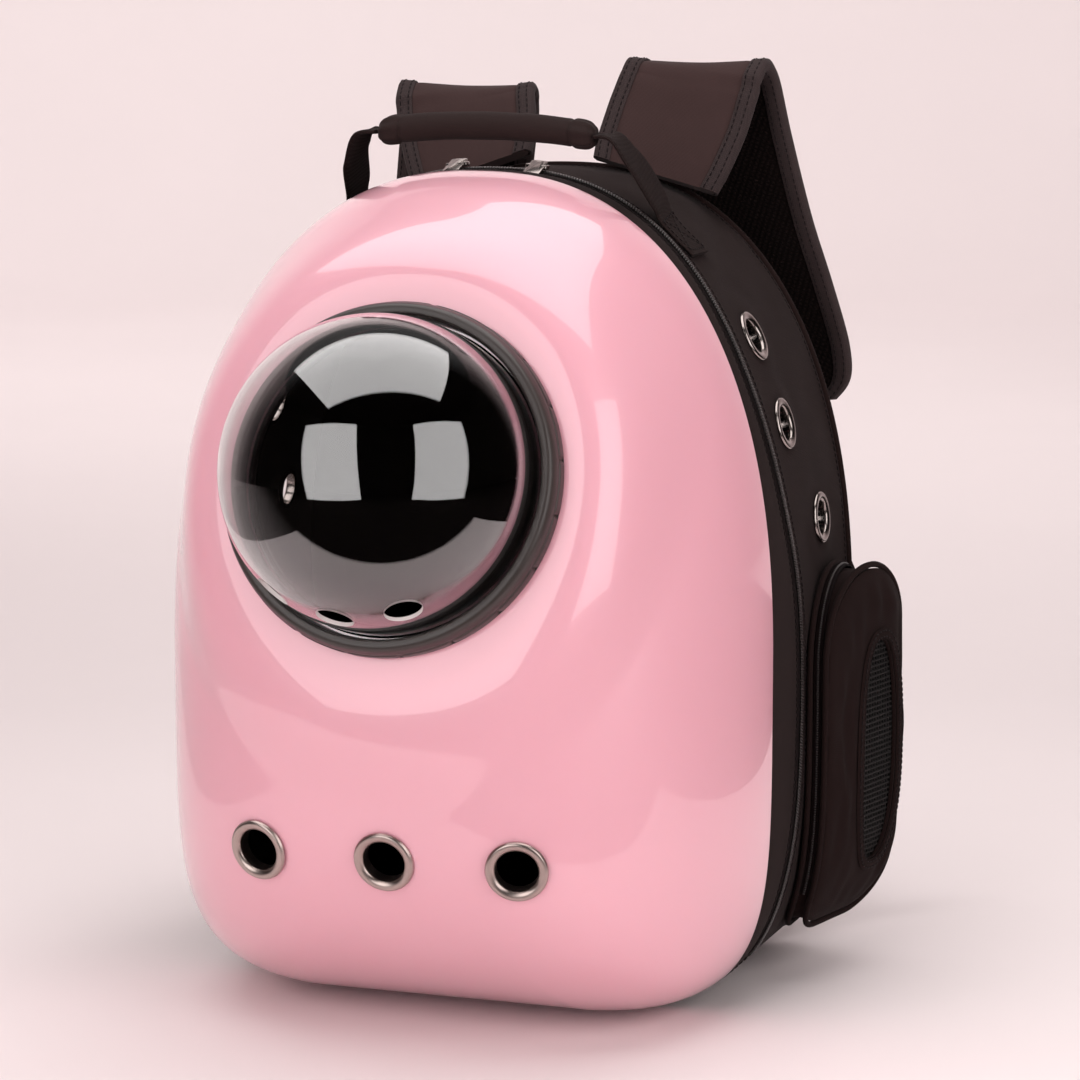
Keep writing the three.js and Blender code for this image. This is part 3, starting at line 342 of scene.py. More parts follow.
# Copies of one small shape at many places, each with its own three axes, joined in one mesh
def copiesOf(name, shape, places, axes):
    points, faces = shape
    points = np.asarray(points, dtype=float)
    placed = np.einsum("pk,nkc->npc", points, axes) + places[:, None, :]
    offsets = np.arange(len(places)) * len(points)
    allFaces = [[index + int(offset) for index in face] for offset in offsets for face in faces]
    return newObject(name, placed.reshape(-1, 3), allFaces)


def unit(vectors):
    return vectors / np.maximum(np.linalg.norm(vectors, axis=-1, keepdims=True), 1e-9)


def tangents(path, closed=False):
    if closed:
        return unit(np.roll(path, -1, axis=0) - np.roll(path, 1, axis=0))
    return unit(np.gradient(path, axis=0))


# Frames along a path: tangent, and two sides turned to follow a guide direction
def framesOn(path, guide, closed=False):
    along = tangents(path, closed)
    guide = np.broadcast_to(guide, path.shape)
    across = unit(guide - along * np.sum(guide * along, axis=1, keepdims=True))
    return along, across, np.cross(along, across)


# Points spaced evenly along a path, with anything that was given on it carried along
def spaced(path, step, *values, closed=False, phase=0.5):
    if closed:
        path = np.concatenate([path, path[:1]])
        values = [np.concatenate([value, value[:1]]) for value in values]
    far = np.concatenate([[0], np.cumsum(np.linalg.norm(np.diff(path, axis=0), axis=1))])
    count = max(1, int(far[-1] / step))
    wanted = (np.arange(count) + phase) * far[-1] / count
    return [
        np.stack([np.interp(wanted, far, column) for column in np.asarray(value).T], axis=1)
        for value in (path, *values)
    ]


def stitchShape(length, radius):
    turn = np.linspace(0, 2 * math.pi, 6, endpoint=False)
    rings = [(-0.5, 0.45), (-0.28, 1.0), (0.28, 1.0), (0.5, 0.45)]
    points = [
        (share * length, size * radius * math.cos(a), size * radius * math.sin(a))
        for share, size in rings for a in turn
    ]
    faces = [
        [row * 6 + at, row * 6 + (at + 1) % 6, (row + 1) * 6 + (at + 1) % 6, (row + 1) * 6 + at]
        for row in range(3) for at in range(6)
    ]
    faces.append(list(range(6))[::-1])
    faces.append([18 + at for at in range(6)])
    return points, faces


# Rows of stitches: each row is a path and the surface's outward direction along it
def stitches(name, rows, step=3.4, length=2.5, radius=0.32, closed=False):
    places, axes = [], []
    for path, out in rows:
        path, out = np.asarray(path, dtype=float), np.broadcast_to(out, np.shape(path))
        spot, normal, ahead = spaced(path, step, out, tangents(path, closed), closed=closed)
        ahead, normal = unit(ahead), unit(normal)
        side = unit(np.cross(normal, ahead))
        places.append(spot + normal * radius * 0.35)
        axes.append(np.stack([ahead, side, np.cross(ahead, side)], axis=1))
    item = copiesOf(name, stitchShape(length, radius), np.concatenate(places), np.concatenate(axes))
    return finishPiece(item, "thread")


# A smooth curve through points, sampled at shares of the way along its spans
def curveThrough(points, shares):
    points = np.asarray(points, dtype=float)
    ends = np.concatenate([[2 * points[0] - points[1]], points, [2 * points[-1] - points[-2]]])
    last = len(points) - 1
    made = []
    for share in np.clip(shares, 0, 1):
        span = min(int(share * last), last - 1)
        at = share * last - span
        a, b, c, d = ends[span:span + 4]
        before, here, after = [max(np.linalg.norm(q - p) ** 0.5, 1e-4) for p, q in ((a, b), (b, c), (c, d))]
        leave = ((b - a) / before - (c - a) / (before + here) + (c - b) / here) * here
        arrive = ((c - b) / here - (d - b) / (here + after) + (d - c) / after) * here
        square, cube = 3 * (c - b) - 2 * leave - arrive, 2 * (b - c) + leave + arrive
        made.append(b + leave * at + square * at ** 2 + cube * at ** 3)
    return np.array(made)


def smoothStep(share):
    t = np.clip(share, 0, 1)
    return t * t * (3 - 2 * t)


# Smooth noise between -1 and 1 at points, with the size of its lumps in millimetres
def lumps(points, size, seed=0.0):
    flat = np.asarray(points, dtype=float).reshape(-1, 3) / size + seed
    values = np.array([noise.noise(Vector(point)) for point in flat])
    return values.reshape(np.shape(points)[:-1])


# Outline of the bag seen from the front: rows of across, height and the two parts of the way out
def rimAt(angle):
    across, along = np.cos(angle), np.sin(angle)
    upper = along >= 0
    power = np.where(upper, bag["topPower"], bag["bottomPower"])
    reach = np.where(upper, bag["height"] - bag["widestAt"], bag["widestAt"] + bag["baseCut"])
    radius = (np.abs(across / bag["halfWidth"]) ** power + np.abs(along / reach) ** power) ** (-1 / power)
    x, z = radius * across, bag["widestAt"] + radius * along
    nx = np.sign(across) * np.abs(x / bag["halfWidth"]) ** (power - 1) / bag["halfWidth"]
    nz = np.sign(along) * np.abs((z - bag["widestAt"]) / reach) ** (power - 1) / reach
    size = np.hypot(nx, nz)
    flat = z <= 0
    columns = [x, np.where(flat, 0, z), np.where(flat, 0, nx / size), np.where(flat, -1, nz / size)]
    return np.stack(columns, axis=-1)


def evenRim(count):
    fine = np.linspace(-math.pi / 2, 1.5 * math.pi, 8001)
    spots = rimAt(fine)
    far = np.concatenate([[0], np.cumsum(np.hypot(*np.diff(spots[:, :2], axis=0).T))])
    wanted = (np.arange(count) + 0.5) / count * far[-1]
    return rimAt(np.interp(wanted, far, fine))


def angleWhere(value, column, low, high, rising=True):
    fine = np.linspace(low, high, 4001)
    found = rimAt(fine)[:, column]
    return np.interp(value, found, fine) if rising else np.interp(value, found[::-1], fine[::-1])


def rimAtHeight(height):
    return rimAt(angleWhere(height, 1, -math.pi / 2.2, math.pi / 2))


def rimAtAcross(across):
    return rimAt(angleWhere(across, 0, 0, math.pi, rising=False))


# A point on the cloth tub, at a place of the outline, a depth, and a distance off the cloth
def tubPoint(place, depth, off=0.0):
    sag = 1 - bag["topSag"] / bag["height"] * np.maximum(0, depth) / bag["tubDepth"]
    x = place[..., 0] + place[..., 2] * off
    z = np.maximum(0, (place[..., 1] + place[..., 3] * off) * sag)
    return np.stack(np.broadcast_arrays(x, depth, z), axis=-1)


# height and depth of the zip, as shares of the bag's
zipLine = [
    (0, 0.165), (0.06, 0.18), (0.12, 0.235), (0.23, 0.325), (0.38, 0.355),
    (0.5, 0.315), (0.62, 0.215), (0.75, 0.145), (0.83, 0.135), (1, 0.185),
]
zipCurve = curveThrough(
    [(height * bag["height"], depth * bag["tubDepth"], 0) for height, depth in zipLine],
    np.linspace(0, 1, 400),
)


def zipDepth(height):
    return np.interp(height, zipCurve[:, 0], zipCurve[:, 1])


# The way out from the outline, at each of its places
def rimOut(places):
    return np.stack([places[:, 2], np.zeros(len(places)), places[:, 3]], axis=1)


rim = evenRim(440)

# Moulded shell, and the window and eyelets that it holds
shell = {
    "depth": 140.0,
    "wall": 2.0,
    "crestAt": 175.0,
    "facePower": 3.2,
    "edgePower": 1.75,
    "columns": 440,
    "rows": 84,
    "innerRows": 30,
}
ring = {
    "at": 285.5,
    "radius": 85.5,
    "inner": 77.2,
    "thickness": 14.0,
    "sink": 15.7,
    "lean": 2.0,
    "seatMargin": 2.5,
    "seatBlend": 46.0,
    "seatBlendBelow": 34.0,
    "notches": 20,
    "notchWidth": 0.035,
    "notchDepth": 1.1,
}
dome = {
    "radius": 75.5,
    "wall": 2.0,
    "skirt": 22.0,
    "flange": 5.0,
    "flangeThickness": 2.4,
    "fillet": 0.6,
    "opening": 72.0,
    "ventRadius": 9.2,
    "ventMiddle": -4.7,
    "ventStep": 27.4,
    "ventLift": 15.8,
}
eyelets = {
    "front": {"radius": 15.5, "hole": 10.4, "neck": 11.8, "rise": 2.6, "play": 3.0},
    "side": {"radius": 13.4, "hole": 8.6, "neck": 9.8, "rise": 2.0, "play": 1.4},
}


# Depth of the shell's plain dome: each point lies on a smaller copy of the outline, and that copy's size
# gives the depth. The size is found by halving
def domedDepth(x, z, inset):
    x, z = np.broadcast_arrays(np.asarray(x, dtype=float), np.asarray(z, dtype=float))
    low, high = np.full(x.shape, 1e-3), np.full(x.shape, 1.5)
    for _ in range(34):
        share = (low + high) / 2
        height = shell["crestAt"] + (z - shell["crestAt"]) / share - bag["widestAt"]
        upper = height >= 0
        power = np.where(upper, bag["topPower"], bag["bottomPower"])
        reach = np.where(upper, bag["height"] - bag["widestAt"], bag["widestAt"] + bag["baseCut"]) - inset
        across = np.abs(x / share) / (bag["halfWidth"] - inset)
        outside = across ** power + np.abs(height / reach) ** power > 1
        low, high = np.where(outside, share, low), np.where(outside, high, share)
    share = np.maximum((low + high) / 2, (shell["crestAt"] - z) / (shell["crestAt"] - inset))
    share = np.minimum(1, share)
    return -((1 - share ** shell["facePower"]) ** (1 / shell["edgePower"])) * (shell["depth"] - inset)


seatRise = domedDepth(0, ring["at"] + ring["radius"], 0) - domedDepth(0, ring["at"] - ring["radius"], 0)
tilt = math.atan2(seatRise, 2 * ring["radius"]) + math.radians(ring["lean"])
windowAxis = np.array([0, -math.cos(tilt), math.sin(tilt)])
windowUp = np.array([0, math.sin(tilt), math.cos(tilt)])
windowCentre = np.array([0, float(domedDepth(0, ring["at"], 0)), ring["at"]]) - windowAxis * ring["sink"]


# Depth of the shell with the window's flat seat blended in
def faceDepth(x, z, inset=0.0):
    rise = (z - windowCentre[2]) / math.cos(tilt)
    away = np.hypot(x, rise)
    blend = ring["seatBlend"] + ring["seatBlendBelow"] * (np.maximum(0, -rise) / np.maximum(1, away)) ** 2
    off = away - ring["radius"] - ring["seatMargin"]
    flat = windowCentre[1] + (z - windowCentre[2]) * math.tan(tilt) + inset / math.cos(tilt)
    share = smoothStep(off / blend)
    return flat + (domedDepth(x, z, inset) - flat) * share


def faceNormal(x, z):
    slopeX = faceDepth(x + 0.5, z) - faceDepth(x - 0.5, z)
    slopeZ = faceDepth(x, z + 0.5) - faceDepth(x, z - 0.5)
    return unit(np.array([slopeX, -1, slopeZ], dtype=float))


# Rows of points from the window's hole out to the shell's edge
def shellRings(inset, rows):
    spots = evenRim(shell["columns"])
    angle = np.arctan2((spots[:, 1] - windowCentre[2]) / math.cos(tilt), spots[:, 0])

    def circle(radius):
        x = radius * np.cos(angle)
        z = windowCentre[2] + radius * np.sin(angle) * math.cos(tilt)
        return np.stack([x, faceDepth(x, z, inset), z], axis=1)

    seat = [circle(radius) for radius in np.linspace(dome["opening"], ring["radius"] + ring["seatMargin"], 5)]
    edge = seat[-1]
    made = list(seat)
    for step in range(1, rows + 1):
        share = math.sin(step / rows * math.pi / 2)
        x, z = (edge[:, (0, 2)] + (spots[:, :2] - spots[:, 2:] * inset - edge[:, (0, 2)]) * share).T
        depth = faceDepth(x, z, inset) if step < rows else np.zeros(len(x))
        made.append(np.stack([x, depth, z], axis=1))
    return made


frontRow = {"across": 66.4, "height": 98.4}
frontHoles = []
for across in (-frontRow["across"], 0, frontRow["across"]):
    height = frontRow["height"]
    centre = np.array([across, float(faceDepth(across, height)), height])
    frontHoles.append((centre, faceNormal(across, height)))


# Bakes a piece's modifiers into its mesh
def applyAll(item):
    seen = item.evaluated_get(bpy.context.evaluated_depsgraph_get())
    old, item.data = item.data, bpy.data.meshes.new_from_object(seen)
    item.modifiers.clear()
    bpy.data.meshes.remove(old)


# Round holes through a piece, each with its own centre and axis
def drillThrough(item, holes, radius, reach=40.0, sides=64):
    for centre, axis in holes:
        turn = Vector((0, 0, 1)).rotation_difference(Vector(axis)).to_matrix().to_4x4()
        tool = bmesh.new()
        bmesh.ops.create_cone(
            tool, cap_ends=True, segments=sides, radius1=radius / 1000, radius2=radius / 1000,
            depth=reach / 1000, matrix=Matrix.Translation(Vector(toFrame(centre))) @ turn,
        )
        mesh = bpy.data.meshes.new("drill")
        tool.to_mesh(mesh)
        tool.free()
        cutter = bpy.data.objects.new("drill", mesh)
        bpy.context.collection.objects.link(cutter)
        change = item.modifiers.new("hole", "BOOLEAN")
        change.operation = "DIFFERENCE"
        change.solver = "EXACT"
        change.object = cutter
        applyAll(item)
        bpy.data.objects.remove(cutter)


def makeShell():
    outer = shellRings(0.0, shell["rows"])
    inner = shellRings(shell["wall"], shell["innerRows"])
    item = gridMesh("shellMoulding", np.array(outer + inner[::-1]), closeRows=True, closeColumns=True)
    drillThrough(item, frontHoles, eyelets["front"]["neck"] + gap)
    finishPiece(item, "pink", ["shell"], smoothBelow=40)
    # painted shade: its inside faces and the faces at the window's hole, which the dome lets the eye see, get
    # the near-black inside material in place of the pink
    item.data.materials.append(materials["insideShade"])
    hidden = []
    for face in item.data.polygons:
        off = (np.array(face.center) - toFrame(windowCentre)) * 1000
        high = off @ windowAxis
        atHole = np.linalg.norm(off - high * windowAxis) < dome["radius"] + 1.5 and abs(high) < 6
        hidden.append(int(atHole or face.normal.y > 0.15))
    item.data.polygons.foreach_set("material_index", hidden)


makeShell()
print("shell made")


# Turns a profile of radius and height about an axis
def turned(profile, columns, centre, axis, up, wobble=None):
    profile = np.asarray(profile, dtype=float)
    side = np.cross(up, axis)
    turn = np.linspace(0, 2 * math.pi, columns, endpoint=False)
    radius = np.repeat(profile[:, :1], columns, axis=1)
    height = np.repeat(profile[:, 1:], columns, axis=1)
    if wobble:
        radius = wobble(radius, height, turn)
    radial = side[None, :] * np.cos(turn)[:, None] + up[None, :] * np.sin(turn)[:, None]
    return centre + radius[..., None] * radial[None] + height[..., None] * axis


def lathe(name, profile, columns, centre, axis, up, wobble=None):
    points = turned(profile, columns, centre, axis, up, wobble)
    return gridMesh(name, points, closeRows=True, closeColumns=True)


# Rounds off the corners of a profile, each by its own radius
def rounded(corners, steps=5):
    made = []
    count = len(corners)
    for at, (r, h, size) in enumerate(corners):
        here = np.array([r, h], dtype=float)
        if size <= 0:
            made.append(here)
            continue
        ends = []
        for other in (corners[at - 1], corners[(at + 1) % count]):
            way = np.array(other[:2], dtype=float) - here
            reach = np.linalg.norm(way)
            ends.append(here + way / reach * min(size, reach * 0.48))
        for share in np.linspace(0, 1, steps):
            made.append((1 - share) ** 2 * ends[0] + 2 * share * (1 - share) * here + share ** 2 * ends[1])
    return made


flangeTop = gap + dome["flangeThickness"]
flangeEdge = dome["radius"] + dome["flange"]


# Black rubber ring with a step round its outside, which carries small notches
def makeRing():
    outerEdge, thickness = ring["radius"], ring["thickness"]
    # corners: radius, height, rounding
    profile = rounded([
        (outerEdge, gap, 0.6),
        (outerEdge, thickness * 0.42, 1.0),
        (outerEdge - 0.7, thickness * 0.46, 0.5),
        (outerEdge - 0.7, thickness * 0.62, 2.4),
        (outerEdge - 2.6, thickness * 0.98, 3.0),
        (ring["inner"] + 1.3, thickness * 0.97, 0.9),
        (ring["inner"] + 0.9, thickness * 0.8, 0.5),
        (ring["inner"] + 0.3, thickness * 0.77, 0.4),
        (ring["inner"], thickness * 0.6, 0.8),
        (ring["inner"], flangeTop + gap, 0),
        (flangeEdge + 2 * gap, flangeTop + gap, 0),
        (flangeEdge + 2 * gap, gap, 0),
    ])

    def notched(radius, height, turn):
        place = (turn * ring["notches"] / (2 * math.pi)) % 1
        notch = np.exp(-((place - 0.5) / ring["notchWidth"]) ** 2)
        low = (height < thickness * 0.45) & (radius > outerEdge - 1.5) & (height > gap * 2)
        return radius - ring["notchDepth"] * notch[None, :] * low

    item = lathe("windowRing", profile, 480, windowCentre, windowAxis, windowUp, notched)
    finishPiece(item, "rubber", ["window_ring"], smoothBelow=50)


# Skin of the dome: up its outside to the pole, and down its inside again
def domeSkin():
    inside = dome["radius"] - dome["wall"]
    quarter = np.linspace(0, math.pi / 2, 56)[:-1]
    outer = [(dome["radius"] * math.cos(a), dome["skirt"] + dome["radius"] * math.sin(a)) for a in quarter]
    inner = [(inside * math.cos(a), dome["skirt"] + inside * math.sin(a)) for a in quarter]
    profile = [
        (inside, gap), (flangeEdge, gap), (flangeEdge, flangeTop),
        (dome["radius"] + dome["fillet"], flangeTop), (dome["radius"], flangeTop + dome["fillet"]),
    ]
    profile += [(dome["radius"], height) for height in np.linspace(flangeTop, dome["skirt"], 10)[1:-1]]
    profile += outer
    columns = 200
    rows = turned(profile + inner[::-1], columns, windowCentre, windowAxis, windowUp)
    poles = [windowCentre + windowAxis * (dome["skirt"] + radius) for radius in (dome["radius"], inside)]
    count = len(rows)
    faces = []
    for row in range(count):
        here, following = row * columns, (row + 1) % count * columns
        for column in range(columns):
            beside = (column + 1) % columns
            if row == len(profile) - 1:
                faces.append([here + column, here + beside, count * columns])
                faces.append([following + beside, following + column, count * columns + 1])
            else:
                faces.append([here + column, here + beside, following + beside, following + column])
    return outward(newObject("domeBubble", np.concatenate([rows.reshape(-1, 3), poles]), faces))


def makeDome():
    item = domeSkin()
    vents = []
    lift = math.radians(dome["ventLift"])
    for step in (-1, 0, 1):
        angle = math.radians(dome["ventMiddle"] + dome["ventStep"] * step)
        down = -windowUp * math.cos(angle) + np.array([1.0, 0, 0]) * math.sin(angle)
        out = down * math.cos(lift) + windowAxis * math.sin(lift)
        vents.append((windowCentre + windowAxis * dome["skirt"] + out * dome["radius"], out))
    drillThrough(item, vents, dome["ventRadius"], sides=48)
    finishPiece(item, "acrylic", ["dome"], smoothBelow=40)
    # the cut faces of the vents are sawn, so they scatter light and show as pale rims
    item.data.materials.append(materials["sawnAcrylic"])
    for centre, out in vents:
        middle = toFrame(centre)
        for face in item.data.polygons:
            off = (np.array(face.center) - middle) * 1000
            along = off @ out
            near = np.linalg.norm(off - along * out)
            onWall = abs(near - dome["ventRadius"]) < 0.25 and abs(along) < 4
            if onWall and abs(face.normal @ Vector(out)) < 0.5:
                face.material_index = 1


makeRing()
makeDome()
print("window made")


# Cloths of the body
cloths = {
    "bandWall": 3.0,
    "zipWidth": 12.0,
    "zipEnd": 24.0,
    "wall": 2.2,
    "piping": 2.0,
    "bandSwell": 0.35,
    "bandTuck": 0.2,
}


# Metal eyelets: a ring with a neck through the wall and a washer behind it
def makeEyelet(name, size, wall, centre, axis, material, node):
    back = -wall - size["play"]
    washer = size["radius"] - 2.2
    middle = size["hole"] + (size["radius"] - size["hole"]) * 0.55
    # corners: radius, height, rounding
    profile = rounded([
        (size["hole"], back - 0.9, 0.4),
        (washer, back - 0.9, 0.4),
        (washer, back, 0.4),
        (size["neck"], back, 0),
        (size["neck"], gap, 0),
        (size["radius"] - 0.2, gap, 0.2),
        (size["radius"], gap + 0.5, 0.5),
        (middle + 1.4, size["rise"], 1.6),
        (middle - 1.2, size["rise"] * 0.92, 1.4),
        (size["hole"], size["rise"] * 0.35, 0.8),
    ], steps=6)
    up = unit(np.cross(np.cross(axis, [0, 0.1, 1.0]), axis))
    item = lathe(name, profile, 96, centre, axis, up)
    finishPiece(item, material, [node], smoothBelow=50)


for label, (centre, axis) in zip(("left", "centre", "right"), frontHoles):
    makeEyelet("frontEyelet_" + label, eyelets["front"], shell["wall"], centre, axis,
               "gunmetal", "front_eyelet_" + label)

# depth and height of the side eyelets, as shares of the bag's
sideRows = [(0.38, 0.805), (0.4, 0.7), (0.655, 0.576)]
sideHoles = []
for label, sign in (("right", 1), ("left", -1)):
    for at, (depth, height) in enumerate(sideRows):
        place = rimAtHeight(height * bag["height"])
        centre = tubPoint(place, depth * bag["tubDepth"])
        axis = unit(np.array([place[2] * sign, 0, place[3]]))
        sideHoles.append((f"{label}_{at + 1}", centre * (sign, 1, 1), axis))
for label, centre, axis in sideHoles:
    makeEyelet("sideEyelet_" + label, eyelets["side"], cloths["wall"], centre, axis,
               "nickel", "side_eyelet_" + label)
print("eyelets made")

# Cloth body: front band, gusset, piping, zip and hinge strip
zipHalf = cloths["zipWidth"] / 2
clothEnd = bag["tubDepth"] - 2 * cloths["piping"] - gap
zipMiddle = zipDepth(rim[:, 1])


# Loft round the outline: rows of (depth, off) with one value for each place on the outline
def aroundRim(name, rows, places=rim, closed=True):
    points = np.array([tubPoint(places, depth, off) for depth, off in rows])
    return gridMesh(name, points, closeRows=True, closeColumns=closed)


def makeBand():
    end = zipMiddle - zipHalf - gap
    shares = np.linspace(0, 1, 9)
    depths = [gap + (end - gap) * share for share in shares]
    swell = [cloths["bandSwell"] * math.sin(math.pi * share) for share in shares]
    tuck = [cloths["bandTuck"] * (share in (0, 1)) for share in shares]
    rows = [(depth, up - down) for depth, up, down in zip(depths, swell, tuck)]
    rows += [(depth, -cloths["bandWall"]) for depth in depths[::-1]]
    item = aroundRim("frontBand", rows)
    finishPiece(item, "neoprene", ["front_band"], smoothBelow=50)


# Folds of the gusset: long ones, short ones over them, and lines pulled down from the strap roots
folds = {
    "long": 46.0,
    "longRise": 1.65,
    "short": 17.0,
    "shortRise": 0.77,
    "rootAcross": 88.0,
    "rootWidth": 24.0,
    "rootFrom": 300.0,
    "rootRise": 0.8,
    "drawn": 0.5,
    "flatBelow": 25.0,
    "eyeletFlat": 15.0,
}


def makeGusset():
    start = zipMiddle + zipHalf + gap
    shares = np.linspace(0, 1, 34)
    depths = [start + (clothEnd - start) * share for share in shares]
    grid = np.array([tubPoint(rim, depth, 0.0) for depth in depths])
    across, depth, height = grid[..., 0], grid[..., 1], grid[..., 2]
    soft = np.sin(math.pi * shares)[:, None] ** 0.5 * smoothStep((height - folds["flatBelow"]) / 60)
    for _, centre, _ in sideHoles:
        soft = soft * smoothStep((np.linalg.norm(grid - centre, axis=2) - folds["eyeletFlat"]) / 14)
    off = lumps(grid * (1, 0.6, 1), folds["long"], 3.1) * folds["longRise"]
    off = off + lumps(grid * (1, 0.5, 1), folds["short"], 8.4) * folds["shortRise"]
    root = np.exp(-((np.abs(across) - folds["rootAcross"]) / folds["rootWidth"]) ** 2)
    root = root * smoothStep((height - folds["rootFrom"]) / 80)
    off = off + np.sin(across * 0.22 + depth * 0.09) * root * folds["rootRise"]
    off = (off - folds["drawn"]) * soft
    rows = list(zip(depths, off)) + [(depth, -cloths["wall"]) for depth in depths[::-1]]
    item = aroundRim("gussetCloth", rows)
    holes = [(centre, axis) for _, centre, axis in sideHoles]
    drillThrough(item, holes, eyelets["side"]["neck"] + 0.5, sides=32)
    finishPiece(item, "nylon", ["gusset"], smoothBelow=60)


def makePiping():
    turn = np.linspace(0, 2 * math.pi, 12, endpoint=False)
    radius = cloths["piping"]
    rows = [(bag["tubDepth"] - radius + radius * math.cos(a), radius * math.sin(a)) for a in turn]
    item = aroundRim("backPiping", rows)
    finishPiece(item, "nylon", ["back_piping"])


makeBand()
makeGusset()
makePiping()

# depth of each seam, and how far its stitches stand off the cloth
seams = [
    (zipMiddle - zipHalf - 2.2, 0.15),
    (zipMiddle + zipHalf + 2.4, 0.1),
    (clothEnd - 3.0, 0.1),
]
seamRows = [(tubPoint(rim, depth, off), rimOut(rim)) for depth, off in seams]
stitches("bodyStitches", seamRows, closed=True)
print("cloth body made")


# Zip: two tapes, and a coil on each that meshes with the other
zipStart = int(np.argmax((rim[:, 1] > cloths["zipEnd"]) & (rim[:, 0] > 0)))
zipPlaces = rim[zipStart:len(rim) - zipStart]


# section of one tape: reach from the zip's middle, and height off the cloth
tapeSection = [
    (-zipHalf, -0.9), (-zipHalf + 0.6, 0.0), (-2.6, 0.0), (-0.25, -0.3),
    (-0.25, -1.2), (-2.6, -1.4), (-zipHalf, -1.5),
]
# section of one tooth of the coil: reach, height, rounding
toothSection = [(-1.35, 0, 0.2), (1.15, 0, 0.2), (1.35, 0.45, 0.4), (0.9, 1.1, 0.5), (-1.1, 1.05, 0.5)]
tooth = {"pitch": 1.5, "apart": 0.85, "half": 0.42, "headHalf": 0.5, "headFrom": 0.6}


def makeZip():
    middle = zipDepth(zipPlaces[:, 1])
    for label, sign in (("front", 1), ("rear", -1)):
        rows = [(middle + reach * sign, off) for reach, off in tapeSection]
        item = aroundRim("zipTape_" + label, rows, zipPlaces, closed=False)
        finishPiece(item, "zipTape", ["main_zipper"] if sign > 0 else [])
    path = tubPoint(zipPlaces, middle, 0.25)
    out = rimOut(zipPlaces)
    places, axes = [], []
    for sign, phase in ((1, 0.25), (-1, 0.75)):
        spot, normal, ahead = spaced(path, tooth["pitch"], out, tangents(path), phase=phase)
        ahead, normal = unit(ahead), unit(normal)
        side = np.cross(normal, ahead)
        places.append(spot + side * sign * tooth["apart"])
        axes.append(np.stack([side * sign, ahead, normal], axis=1))
    section = rounded(toothSection, steps=2)
    points = [
        (x, side * (tooth["half"] if x < tooth["headFrom"] else tooth["headHalf"]), z)
        for side in (-1, 1) for x, z in section
    ]
    count = len(section)
    faces = [[at, (at + 1) % count, count + (at + 1) % count, count + at] for at in range(count)]
    faces += [list(range(count))[::-1], [count + at for at in range(count)]]
    item = copiesOf("zipCoil", (points, faces), np.concatenate(places), np.concatenate(axes))
    finishPiece(item, "zipCoil")


def makeHinge():
    places = np.concatenate([rim[len(rim) - zipStart - 1:], rim[:zipStart + 1]])
    middle = zipDepth(places[:, 1])
    reaches = np.linspace(-zipHalf, zipHalf, 9)
    rows = [(middle + reach, -0.15 * (abs(reach) == zipHalf)) for reach in reaches]
    rows += [(middle + reach, -cloths["wall"]) for reach in reaches[::-1]]
    item = aroundRim("hingeStrip", rows, places, closed=False)
    finishPiece(item, "nylon", ["hinge_strip"], smoothBelow=50)


makeZip()
makeHinge()
print("zip made")


# The zip pulls hang forward over the edge of the shell: wider plates, with their free end bent down
pull = {"wider": 1.25, "slope": 0.5, "stiff": 0.007}


def bendPull(points):
    middle = sum(point.x for point in points) / len(points)
    rear = max(point.y for point in points)
    for point in points:
        point.x = middle + (point.x - middle) * pull["wider"]
        point.z -= max(0.0, rear - point.y - pull["stiff"]) * pull["slope"]


# A rounder copy of a frame solid: its own mesh, with its points moved by a function and its edges bevelled
def bevelled(node, width, material, segments=3, move=None):
    item = bpy.data.objects.new(node + "Formed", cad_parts[node].data.copy())
    bpy.context.collection.objects.link(item)
    work = bmesh.new()
    work.from_mesh(item.data)
    bmesh.ops.remove_doubles(work, verts=work.verts[:], dist=1e-6)
    bmesh.ops.dissolve_limit(work, angle_limit=math.radians(2), verts=work.verts[:], edges=work.edges[:])
    if move:
        move([vertex.co for vertex in work.verts])
    bmesh.ops.bevel(
        work, geom=work.edges[:], offset=width / 1000, segments=segments, affect="EDGES", profile=0.5,
        clamp_overlap=True,
    )
    work.to_mesh(item.data)
    work.free()
    return finishPiece(item, material, [node], smoothBelow=50)


for side in ("left", "right"):
    bevelled("zip_slider_" + side, 0.6, "nickel")
    bevelled("zip_pull_" + side, 0.3, "nickel", 2, bendPull)
print("small parts made")

# Handle
handle = {
    "gripLength": 114.0,
    "gripHeight": 15.0,
    "gripDepth": 20.0,
    "lean": 12.0,
    "above": 17.5,
    "arch": 4.0,
    "webbing": 25.0,
    "webbingWall": 2.0,
    "footAcross": 84.0,
    "footDepth": 43.0,
    "footLength": 16.0,
    "seamEdge": 0.42,
    "seamRise": 1.05,
}


# A point on the grip, at a share of its half length, an angle round it and a size of its section
def gripPoint(share, angle, size):
    base = bag["height"] + handle["above"]
    return np.stack(np.broadcast_arrays(
        share * handle["gripLength"] / 2,
        handle["lean"] + size * handle["gripDepth"] / 2 * np.cos(angle),
        base + handle["arch"] * (1 - share ** 2) + size * handle["gripHeight"] / 2 * np.sin(angle),
    ), axis=-1)


# The grip's cloth, in shares of its half length and half height: slim, rounded off at its ends, with a
# cuff past a sewn groove at each end, gathers beside the groove and one seam along it
grip = {
    "slim": 0.93,
    "endPower": 26,
    "groove": (0.79, 0.07, 0.012),
    "cuff": (0.8, 0.06, 0.03),
    "gathers": (0.7, 0.045, 0.2),
    "gatherCount": 9,
    "lump": 17.0,
    "lumpRise": 0.035,
    "seams": [(0.95, -0.07, 0.07), (1.12, 0.03, 0.1)],
}


def bell(value, at, rise, width):
    return rise * np.exp(-((value - at) / width) ** 2)


def ramp(value, at, rise, width):
    return rise * smoothStep((value - at) / width)


